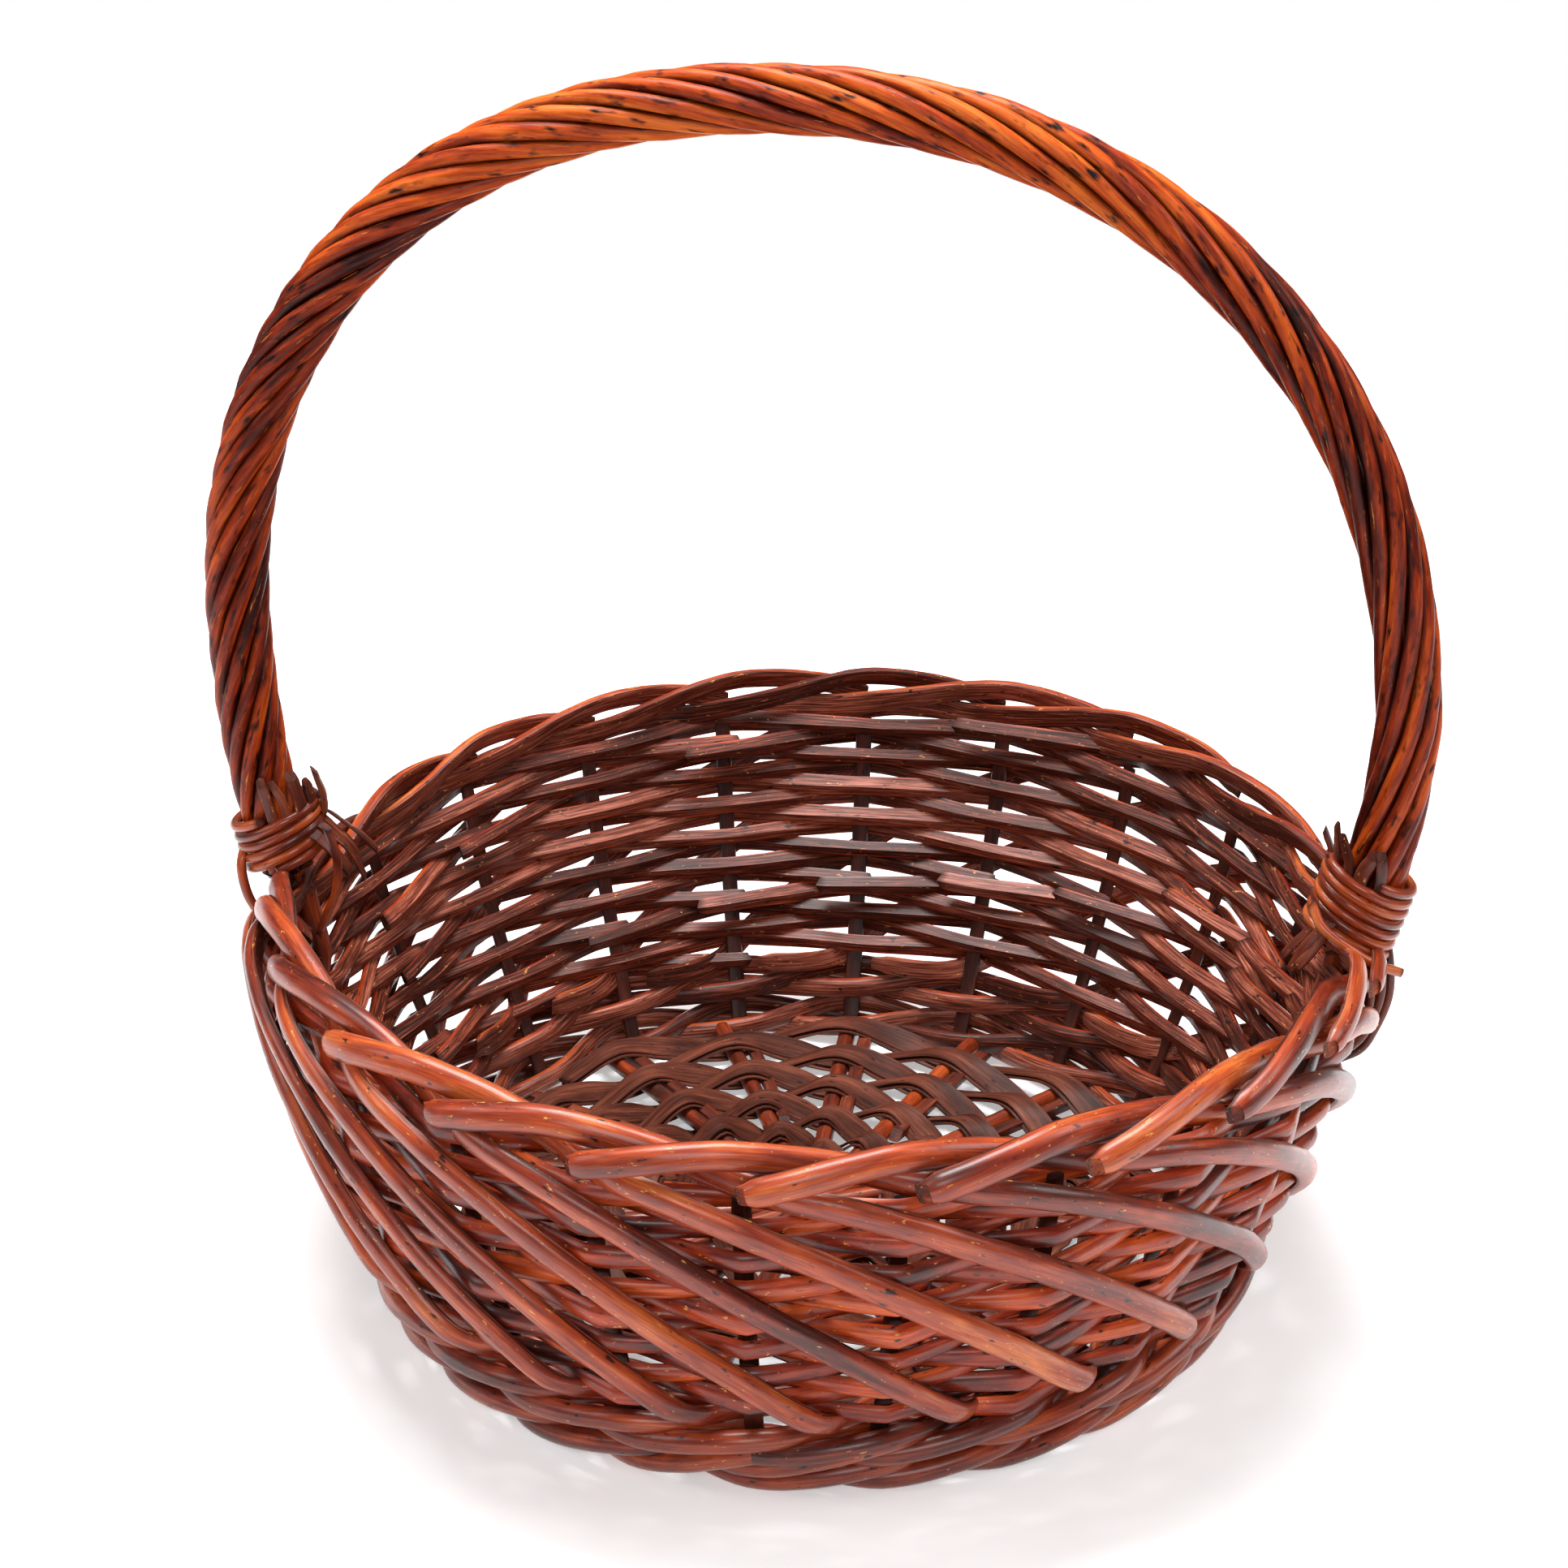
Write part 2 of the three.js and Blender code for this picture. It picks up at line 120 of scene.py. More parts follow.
# The bowl's shape, which every woven piece follows
bowl = {
    "stakes": 22,
    "crowding": 0.09,  # how much closer the stakes stand at the front, as a share
    "footRadius": 153,
    "rimRadius": 200,
    "rimHeight": 157,
    "bulge": 7,
}
# share of the way round from the front, and how far the rim lies lower there in mm: it dips at the handle's
# feet, stands highest at the front left and lies lower all along the back
rimDrop = [
    (0, 0), (0.17, 0), (0.2, 1.3), (0.217, 4.6), (0.233, 9.7), (0.25, 14), (0.27, 18), (0.3, 18.5),
    (0.33, 14), (0.355, 10.5), (0.38, 7), (0.42, 5.8), (0.47, 5.8), (0.5, 6.2), (0.53, 7.8), (0.56, 9.2),
    (0.6, 11.4), (0.64, 13), (0.67, 15.5), (0.7, 18.5), (0.73, 21), (0.75, 17), (0.767, 7), (0.783, -1.3),
    (0.8, -6.2), (0.83, -7.3), (0.87, -5.3), (0.92, -2.5), (1, 0),
]
stakeStep = fullTurn / bowl["stakes"]
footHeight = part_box("foot_wale")[1].z / mm
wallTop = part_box("stake_01")[1].z / mm
up = Vector((0, 0, 1))


def azimuthOf(turn):
    return turn - bowl["crowding"] * math.sin(turn)


def turnAt(azimuth):
    turn = azimuth
    for _ in range(20):
        turn = azimuth + bowl["crowding"] * math.sin(turn)
    return turn


def outwardsAt(turn):
    azimuth = azimuthOf(turn)
    return Vector((math.sin(azimuth), -math.cos(azimuth), 0))


def wallRadius(height):
    share = height / bowl["rimHeight"]
    lean = (bowl["rimRadius"] - bowl["footRadius"]) * share
    return bowl["footRadius"] + lean + bowl["bulge"] * 4 * share * (1 - share)


def wallNormal(turn, height):
    share = height / bowl["rimHeight"]
    slope = (bowl["rimRadius"] - bowl["footRadius"] + bowl["bulge"] * 4 * (1 - 2 * share)) / bowl["rimHeight"]
    return (outwardsAt(turn) - up * slope).normalized()


def dipAt(turn):
    share = azimuthOf(turn) / fullTurn % 1
    for (a, low), (b, high) in zip(rimDrop, rimDrop[1:]):
        if share <= b:
            mix = (share - a) / (b - a)
            return low + (high - low) * mix * mix * (3 - 2 * mix)
    return 0


def onWall(turn, height, reach):
    share = max(height - footHeight, 0) / (bowl["rimHeight"] - footHeight)
    point = outwardsAt(turn) * (wallRadius(height) + reach)
    point.z = height - dipAt(turn) * share
    return point


# One geometry node tree turns guide lines into willow rods or splits of any section
rodLengths = {  # in mm
    "Width": 6,
    "Crown": 3,  # how far the section stands out of its centre line, towards the outside
    "Belly": 3,  # and towards the inside
    "Step": 3,
    "Wander": 0.4,
    "Wander Length": 60,
    "Relief": 0.2,
    "Relief Length": 22,
    "End Length": 4,
}
rodShares = {
    "Crown Power": 1.0,  # under 1 is flatter than round
    "Belly Power": 1.0,
    "Edge Power": 1.0,
    "Belly Edge Power": 1.0,
    "Size Spread": 0.08,
    "Taper": 0.0,
    "Slant": 0.6,  # how obliquely the ends are cut
    "End Thinness": 0.1,
    "Ridge Angle": math.radians(37),  # edges that bend more than this stay crisp
}


def inMetres(sizes):
    return {name: value * mm if name in rodLengths else value for name, value in sizes.items()}


def roundSection(rod):
    return {"Width": rod, "Crown": rod / 2, "Belly": rod / 2}


def flatSection(width, thickness, power):
    half = thickness / 2
    powers = {"Crown Power": power, "Belly Power": power, "Edge Power": power}
    return {"Width": width, "Crown": half, "Belly": half, **powers}


marks = {  # what the guides bring, and what the rods keep for their cuts and their materials
    "outwards": "FLOAT_VECTOR",
    "swell": "FLOAT",
    "rodAlong": "FLOAT",
    "rodShade": "FLOAT",
    "rodEnd": "FLOAT",
    "rodInwards": "FLOAT_VECTOR",
    "rodSpace": "FLOAT_VECTOR",
}
noiseApart = {"bend": (3.1, 5.7, 4.3), "bark": 7.31}  # so that no two rods bend or are dyed alike
cutDepth = 0.1  # mm from the end, within which a rod's last corners lie


def willowTree():
    tree = bpy.data.node_groups.new("willow rods", "GeometryNodeTree")
    tree.interface.new_socket("Guides", in_out="INPUT", socket_type="NodeSocketGeometry")
    for name, value in inMetres({**rodLengths, **rodShares}).items():
        socket = tree.interface.new_socket(name, in_out="INPUT", socket_type="NodeSocketFloat")
        socket.default_value = value
    for name, value in {"Sides": 12, "Seed": 1}.items():
        socket = tree.interface.new_socket(name, in_out="INPUT", socket_type="NodeSocketInt")
        socket.default_value = value
    tree.interface.new_socket("Material", in_out="INPUT", socket_type="NodeSocketMaterial")
    tree.interface.new_socket("Rods", in_out="OUTPUT", socket_type="NodeSocketGeometry")
    given = tree.nodes.new("NodeGroupInput").outputs
    read = {}
    for name, kind in marks.items():
        read[name] = addNode(tree, "GeometryNodeInputNamedAttribute", {"Name": name}, data_type=kind)

    # smooth centre lines, one step apart
    lines = addNode(tree, "GeometryNodeMeshToCurve", {"Mesh": given["Guides"]})
    lines = addNode(tree, "GeometryNodeCurveSplineType", {"Curve": lines}, spline_type="CATMULL_ROM")
    lines = addNode(tree, "GeometryNodeResampleCurve", {"Curve": lines, "Length": given["Step"]},
                    mode="LENGTH")
    rod = addNode(tree, "GeometryNodeCurveOfPoint", give="Curve Index")
    seedBeside = addNode(tree, "ShaderNodeMath", [given["Seed"], 1], operation="ADD")
    chance = addNode(tree, "FunctionNodeRandomValue",
                     {"Min": 0.0, "Max": 1.0, "ID": rod, "Seed": given["Seed"]}, data_type="FLOAT")
    girth = addNode(tree, "FunctionNodeRandomValue",
                    {"Min": -1.0, "Max": 1.0, "ID": rod, "Seed": seedBeside}, data_type="FLOAT")
    along = addNode(tree, "GeometryNodeSplineParameter", give="Length")
    share = addNode(tree, "GeometryNodeSplineParameter", give="Factor")
    whole = addNode(tree, "GeometryNodeSplineLength", give="Length")

    # rods are never quite straight
    place = addNode(tree, "GeometryNodeInputPosition")
    apart = addNode(tree, "ShaderNodeVectorMath", {0: noiseApart["bend"], "Scale": chance}, operation="SCALE")
    spread = addNode(tree, "ShaderNodeVectorMath", [place, given["Wander Length"]], operation="DIVIDE")
    spread = addNode(tree, "ShaderNodeVectorMath", [spread, apart], operation="ADD")
    bend = addNode(tree, "ShaderNodeTexNoise", {"Vector": spread, "Scale": 1.0, "Detail": 1.0}, give="Color")
    bend = addNode(tree, "ShaderNodeVectorMath", [bend, (0.5, 0.5, 0.5)], operation="SUBTRACT")
    bend = addNode(tree, "ShaderNodeVectorMath", {0: bend, "Scale": given["Wander"]}, operation="SCALE")
    lines = addNode(tree, "GeometryNodeSetPosition", {"Geometry": lines, "Offset": bend})

    # which way each rod's outer side faces
    lines = addNode(tree, "GeometryNodeSetCurveNormal", {"Curve": lines, "Normal": read["outwards"]},
                    mode="FREE")

    # girth: its own, less towards the tip, and as the guide says
    girth = addNode(tree, "ShaderNodeMath", [girth, given["Size Spread"], 1.0], operation="MULTIPLY_ADD")
    thin = addNode(tree, "ShaderNodeMath", [share, given["Taper"]], operation="MULTIPLY")
    thin = addNode(tree, "ShaderNodeMath", [1.0, thin], operation="SUBTRACT")
    girth = addNode(tree, "ShaderNodeMath", [girth, thin], operation="MULTIPLY")
    girth = addNode(tree, "ShaderNodeMath", [girth, read["swell"]], operation="MULTIPLY")
    left = addNode(tree, "ShaderNodeMath", [whole, along], operation="SUBTRACT")
    nearest = addNode(tree, "ShaderNodeMath", [left, along], operation="MINIMUM")
    blunt = addNode(tree, "ShaderNodeMath", [1.0, given["End Thinness"]], operation="SUBTRACT")
    ending = addNode(tree, "ShaderNodeMapRange",
                     {"Value": nearest, "From Max": given["End Length"], "To Min": blunt},
                     interpolation_type="SMOOTHERSTEP")
    girth = addNode(tree, "ShaderNodeMath", [girth, ending], operation="MULTIPLY")

    # the rod's own shade, the way to its nearer end and the way from that end inwards
    ahead = addNode(tree, "GeometryNodeInputTangent")
    late = addNode(tree, "ShaderNodeMath", [share, 0.5], operation="GREATER_THAN")
    late = addNode(tree, "ShaderNodeMath", [late, -2.0, 1.0], operation="MULTIPLY_ADD")
    ahead = addNode(tree, "ShaderNodeVectorMath", {0: ahead, "Scale": late}, operation="SCALE")
    kept = {"rodAlong": along, "rodShade": chance, "rodEnd": nearest, "rodInwards": ahead}
    for name, value in kept.items():
        lines = addNode(tree, "GeometryNodeStoreNamedAttribute",
                        {"Geometry": lines, "Name": name, "Value": value}, data_type=marks[name],
                        domain="POINT")

    # section: a circle pressed to its crown, belly and edges
    ring = addNode(tree, "GeometryNodeCurvePrimitiveCircle", {"Resolution": given["Sides"], "Radius": 1.0},
                   mode="RADIUS")
    corner = addNode(tree, "GeometryNodeInputPosition")
    corner = addNode(tree, "ShaderNodeSeparateXYZ", {"Vector": corner}, give="X").node.outputs
    halves = []
    for name, sign in (("Crown", 1.0), ("Belly", -1.0)):
        part = addNode(tree, "ShaderNodeMath", [corner["X"], sign], operation="MULTIPLY")
        part = addNode(tree, "ShaderNodeMath", [part, 0.0], operation="MAXIMUM")
        part = addNode(tree, "ShaderNodeMath", [part, given[name + " Power"]], operation="POWER")
        part = addNode(tree, "ShaderNodeMath", [part, given[name]], operation="MULTIPLY")
        halves.append(part)
    out = addNode(tree, "ShaderNodeMath", [halves[0], halves[1]], operation="SUBTRACT")
    inner = addNode(tree, "ShaderNodeMath", [corner["X"], 0.0], operation="LESS_THAN")
    bent = addNode(tree, "ShaderNodeMix",
                   {"Factor": inner, "A": given["Edge Power"], "B": given["Belly Edge Power"]},
                   data_type="FLOAT")
    wide = addNode(tree, "ShaderNodeMath", [corner["Y"]], operation="ABSOLUTE")
    wide = addNode(tree, "ShaderNodeMath", [wide, bent], operation="POWER")
    side = addNode(tree, "ShaderNodeMath", [corner["Y"]], operation="SIGN")
    half = addNode(tree, "ShaderNodeMath", [given["Width"], 0.5], operation="MULTIPLY")
    wide = addNode(tree, "ShaderNodeMath", [wide, half], operation="MULTIPLY")
    wide = addNode(tree, "ShaderNodeMath", [wide, side], operation="MULTIPLY")
    section = addNode(tree, "ShaderNodeCombineXYZ", {"X": out, "Y": wide, "Z": 0.0})
    ring = addNode(tree, "GeometryNodeStoreNamedAttribute",
                   {"Geometry": ring, "Name": "rodSpace", "Value": section}, data_type="FLOAT_VECTOR",
                   domain="POINT")
    ring = addNode(tree, "GeometryNodeSetPosition", {"Geometry": ring, "Position": read["rodSpace"]})

    rods = addNode(tree, "GeometryNodeCurveToMesh",
                   {"Curve": lines, "Profile Curve": ring, "Scale": girth, "Fill Caps": True})

    # oblique cuts, the outer side shorter
    atEnd = addNode(tree, "FunctionNodeCompare", {"A": read["rodEnd"], "B": cutDepth * mm},
                    data_type="FLOAT", operation="LESS_THAN")
    outer = addNode(tree, "ShaderNodeSeparateXYZ", {"Vector": read["rodSpace"]}, give="X")
    outer = addNode(tree, "ShaderNodeMath", [outer, given["Slant"]], operation="MULTIPLY")
    ahead = addNode(tree, "ShaderNodeVectorMath", {0: read["rodInwards"], "Scale": outer}, operation="SCALE")
    rods = addNode(tree, "GeometryNodeSetPosition", {"Geometry": rods, "Selection": atEnd, "Offset": ahead})

    # rodSpace: a place within the rod itself, outwards, across and along, different for each rod
    along = addNode(tree, "ShaderNodeMath", [read["rodShade"], noiseApart["bark"], read["rodAlong"]],
                    operation="MULTIPLY_ADD")
    along = addNode(tree, "ShaderNodeCombineXYZ", {"Z": along})
    space = addNode(tree, "ShaderNodeVectorMath", [read["rodSpace"], along], operation="ADD")
    rods = addNode(tree, "GeometryNodeStoreNamedAttribute",
                   {"Geometry": rods, "Name": "rodSpace", "Value": space}, data_type="FLOAT_VECTOR",
                   domain="POINT")

    # knots and hollows in the bark
    stretched = addNode(tree, "ShaderNodeVectorMath", [space, given["Relief Length"]], operation="DIVIDE")
    lump = addNode(tree, "ShaderNodeTexNoise", {"Vector": stretched, "Scale": 1.0, "Detail": 2.0}, give="Fac")
    lump = addNode(tree, "ShaderNodeMath", [lump, 0.5], operation="SUBTRACT")
    lump = addNode(tree, "ShaderNodeMath", [lump, given["Relief"]], operation="MULTIPLY")
    normal = addNode(tree, "GeometryNodeInputNormal")
    lump = addNode(tree, "ShaderNodeVectorMath", {0: normal, "Scale": lump}, operation="SCALE")
    rods = addNode(tree, "GeometryNodeSetPosition", {"Geometry": rods, "Offset": lump})
    rods = addNode(tree, "GeometryNodeSetShadeSmooth", {"Geometry": rods, "Shade Smooth": True})
    turned = addNode(tree, "GeometryNodeInputMeshEdgeAngle", give="Unsigned Angle")
    sharp = addNode(tree, "FunctionNodeCompare", {"A": turned, "B": given["Ridge Angle"]},
                    data_type="FLOAT", operation="GREATER_THAN")
    rods = addNode(tree, "GeometryNodeSetShadeSmooth",
                   {"Geometry": rods, "Selection": sharp, "Shade Smooth": False}, domain="EDGE")
    rods = addNode(tree, "GeometryNodeRealizeInstances", {"Geometry": rods})
    rods = addNode(tree, "GeometryNodeSetMaterial", {"Geometry": rods, "Material": given["Material"]})
    addNode(tree, "NodeGroupOutput", {"Rods": rods})
    return tree


willowRods = willowTree()


# ways holds, for each rod, a list of (point, outwards, swell) in mm
def growPiece(name, ways, sizes, material, nodes=()):
    points, links, outs, swells = [], [], [], []
    for way in ways:
        first = len(points)
        links += [(first + i, first + i + 1) for i in range(len(way) - 1)]
        for point, outwards, swell in way:
            points.append(point * mm)
            outs += outwards.normalized()[:]
            swells.append(swell)
    guide = bpy.data.meshes.new(name + "Guide")
    guide.from_pydata(points, links, [])
    guide.attributes.new("outwards", "FLOAT_VECTOR", "POINT").data.foreach_set("vector", outs)
    guide.attributes.new("swell", "FLOAT", "POINT").data.foreach_set("value", swells)
    holder = addObject(name + "Guide", guide)
    modifier = holder.modifiers.new("willow", "NODES")
    modifier.node_group = willowRods
    wanted = {**inMetres(sizes), "Material": material}
    for item in willowRods.interface.items_tree:
        if item.item_type == "SOCKET" and item.in_out == "INPUT" and item.name in wanted:
            modifier[item.identifier] = wanted[item.name]
    bpy.context.view_layer.update()
    depsgraph = bpy.context.evaluated_depsgraph_get()
    grown = holder.evaluated_get(depsgraph)
    mesh = bpy.data.meshes.new_from_object(grown, preserve_all_data_layers=True, depsgraph=depsgraph)
    bpy.data.objects.remove(holder)
    piece = addObject(name, mesh)
    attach(piece, "root")
    if nodes:
        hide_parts(*nodes)
    print(name, len(ways), "rods,", len(mesh.polygons), "faces")
    return piece


# Materials. Everything here is dyed willow under a thin satin varnish; what differs is which side shows
def setRamp(ramp, stops):
    while len(ramp.elements) < len(stops):
        ramp.elements.new(0.5)
    for element, (place, colour) in zip(ramp.elements, stops):
        element.position = place
        element.color = linearColour(colour)


def dyedWillow(name):
    look = looks[name]
    material = bpy.data.materials.new(look["name"])
    tree = emptiedTree(material)
    space = addNode(tree, "ShaderNodeAttribute", give="Vector", attribute_name="rodSpace")
    shade = addNode(tree, "ShaderNodeAttribute", give="Fac", attribute_name="rodShade")
    toEnd = addNode(tree, "ShaderNodeAttribute", give="Fac", attribute_name="rodEnd")

    def spots(kind):
        detail, coarseness = noise[kind]
        scaled = addNode(tree, "ShaderNodeVectorMath", [space, [v * mm for v in look[kind]]],
                         operation="DIVIDE")
        return addNode(tree, "ShaderNodeTexNoise",
                       {"Vector": scaled, "Scale": 1.0, "Detail": detail, "Roughness": coarseness},
                       give="Fac")

    # dye that took unevenly: long patches from dark to bright, and rods that took it differently
    patches = spots("patch")
    shift = addNode(tree, "ShaderNodeMath", [shade, look["rodShift"], -look["rodShift"] / 2],
                    operation="MULTIPLY_ADD")
    patches = addNode(tree, "ShaderNodeMath", [patches, shift], operation="ADD")
    # painted light: the dye runs paler towards the top, standing in for the light from above
    if look.get("paintedTopLight"):
        height = addNode(tree, "ShaderNodeTexCoord", give="Object")
        height = addNode(tree, "ShaderNodeSeparateXYZ", {"Vector": height}, give="Z")
        paintedTopLightShare = addNode(tree, "ShaderNodeMapRange",
                       {"Value": height, "From Min": look["paintedTopLightFrom"] * mm, "From Max": look["paintedTopLightTo"] * mm,
                        "To Max": look["paintedTopLight"]}, interpolation_type="SMOOTHSTEP")
        patches = addNode(tree, "ShaderNodeMath", [patches, paintedTopLightShare], operation="ADD")
    colour = addNode(tree, "ShaderNodeValToRGB", {"Fac": patches})
    setRamp(colour.node.color_ramp, look["dye"])

    # fibres run along the rod
    fibres = spots("fibre")
    streak = addNode(tree, "ShaderNodeMapRange",
                     {"Value": fibres, "From Min": look["fibreFrom"], "From Max": look["fibreTo"],
                      "To Min": 1 - look["streak"], "To Max": 1 + look["streak"]})
    colour = addNode(tree, "ShaderNodeVectorMath", {0: colour, "Scale": streak}, operation="SCALE")

    # painted sheen: grey patches stand in for the varnish's sheen under the lamps
    paintedSheen = addNode(tree, "ShaderNodeMapRange",
                   {"Value": spots("paintedSheen"), "From Min": look["paintedSheenFrom"], "From Max": look["paintedSheenTo"],
                    "To Max": look["paintedSheenMost"]})
    colour = addNode(tree, "ShaderNodeMix",
                     {"Factor": paintedSheen, "A": colour, "B": linearColour(look["paintedSheenColour"])}, data_type="RGBA")

    # the split inner side is bare pith: dull and brown, with the growth ring's grain
    roughness, varnish = look["roughness"], look["varnish"]
    outer = addNode(tree, "ShaderNodeSeparateXYZ", {"Vector": space}, give="X")
    if look.get("pith"):
        bare = addNode(tree, "ShaderNodeMapRange",
                       {"Value": outer, "From Min": (look["pithEdge"] - look["pithBlend"]) * mm,
                        "From Max": look["pithEdge"] * mm, "To Min": 1.0, "To Max": 0.0})
        inner = addNode(tree, "ShaderNodeMath", [fibres, shift], operation="ADD")
        inner = addNode(tree, "ShaderNodeValToRGB", {"Fac": inner})
        setRamp(inner.node.color_ramp, look["pith"])
        colour = addNode(tree, "ShaderNodeMix", {"Factor": bare, "A": colour, "B": inner}, data_type="RGBA")
        roughness = addNode(tree, "ShaderNodeMapRange",
                            {"Value": bare, "To Min": look["roughness"], "To Max": look["pithRoughness"]})
        varnish = addNode(tree, "ShaderNodeMapRange",
                          {"Value": bare, "To Min": look["varnish"], "To Max": look["pithVarnish"]})

    # painted shade in the creases between rods that touch: each rod is darker away from its outer crown
    if look.get("creaseShade"):
        bright = addNode(tree, "ShaderNodeMapRange",
                         {"Value": outer, "From Min": look["creaseShadeFrom"] * mm,
                          "From Max": look["creaseShadeTo"] * mm, "To Min": 1 - look["creaseShade"]},
                         interpolation_type="SMOOTHSTEP")
        colour = addNode(tree, "ShaderNodeVectorMath", {0: colour, "Scale": bright}, operation="SCALE")

    # cut ends soaked up more dye
    ends = addNode(tree, "ShaderNodeMapRange",
                   {"Value": toEnd, "From Min": look["endFrom"] * mm, "From Max": look["endTo"] * mm,
                    "To Min": look["endDarkness"], "To Max": 0.0})

    # dark knots and scars, and nicks down to the pale wood
    scars = addNode(tree, "ShaderNodeMapRange",
                    {"Value": spots("scar"), "From Min": look["scarFrom"],
                     "From Max": look["scarFrom"] + look["scarEdge"]})
    nicks = addNode(tree, "ShaderNodeMapRange",
                    {"Value": spots("nick"), "From Min": look["nickFrom"],
                     "From Max": look["nickFrom"] + look["nickEdge"]})
    for share, name in ((ends, "scarColour"), (scars, "scarColour"), (nicks, "nickColour")):
        above = linearColour(look[name])
        colour = addNode(tree, "ShaderNodeMix", {"Factor": share, "A": colour, "B": above}, data_type="RGBA")

    pits = addNode(tree, "ShaderNodeMath", [scars, look["scarDepth"]], operation="MULTIPLY")
    height = addNode(tree, "ShaderNodeMath", [fibres, pits], operation="SUBTRACT")
    varnish = addNode(tree, "ShaderNodeMapRange",
                      {"Value": ends, "From Max": look["endDarkness"], "To Min": varnish, "To Max": 0.0})
    bump = addNode(tree, "ShaderNodeBump",
                   {"Height": height, "Strength": look["bump"], "Distance": look["bumpDepth"] * mm})
    shader = addNode(tree, "ShaderNodeBsdfPrincipled", {
        "Base Color": colour,
        "Roughness": roughness,
        "IOR": 1.5,
        "Specular IOR Level": look["sheen"],
        "Coat Weight": varnish,
        "Coat Roughness": look["varnishRoughness"],
        "Coat IOR": 1.5,
        "Normal": bump,
    })
    addNode(tree, "ShaderNodeOutputMaterial", {"Surface": shader})
    return material


# detail and coarseness of the noise behind each kind of mark
noise = {"patch": (4, 0.62), "fibre": (3, 0.65), "paintedSheen": (3, 0.7), "scar": (2, 0.55), "nick": (3, 0.7)}
barkLook = {  # sizes of marks are outwards, across and along the rod, in mm
    "patch": (6, 6, 38),
    "rodShift": 0.2,
    "dye": [(0.3, "#350d06"), (0.42, "#6b1d0d"), (0.54, "#96300f"), (0.68, "#bf4d17")],
    "fibre": (0.7, 0.7, 20),
    "fibreFrom": 0.3,
    "fibreTo": 0.7,
    "streak": 0.35,
    # painted sheen: grey patches that stand in for the varnish's sheen
    "paintedSheen": (5, 5, 22),
    "paintedSheenFrom": 0.46,
    "paintedSheenTo": 0.72,
    "paintedSheenMost": 0.22,
    "paintedSheenColour": "#75463a",
    "roughness": 0.45,
    "sheen": 0.25,
    "endFrom": 0.2,
    "endTo": 3,
    "endDarkness": 0.8,
    "scar": (2.4, 2.4, 7),
    "scarFrom": 0.66,
    "scarEdge": 0.07,
    "scarDepth": 0.5,
    "scarColour": "#240a06",
    "nick": (1.8, 1.8, 5),
    "nickFrom": 0.74,
    "nickEdge": 0.04,
    "nickColour": "#d8964e",
    "bump": 0.5,
    "bumpDepth": 0.3,
    "varnish": 0.7,
    "varnishRoughness": 0.27,
}
splitLook = {
    **barkLook,
    "sheen": 0.2,
    "pith": [(0.27, "#1d0a05"), (0.43, "#4c1d10"), (0.56, "#833d29"), (0.72, "#bd705a")],
    "pithBlend": 0.25,
    "pithRoughness": 0.5,
    "pithVarnish": 0.22,
}
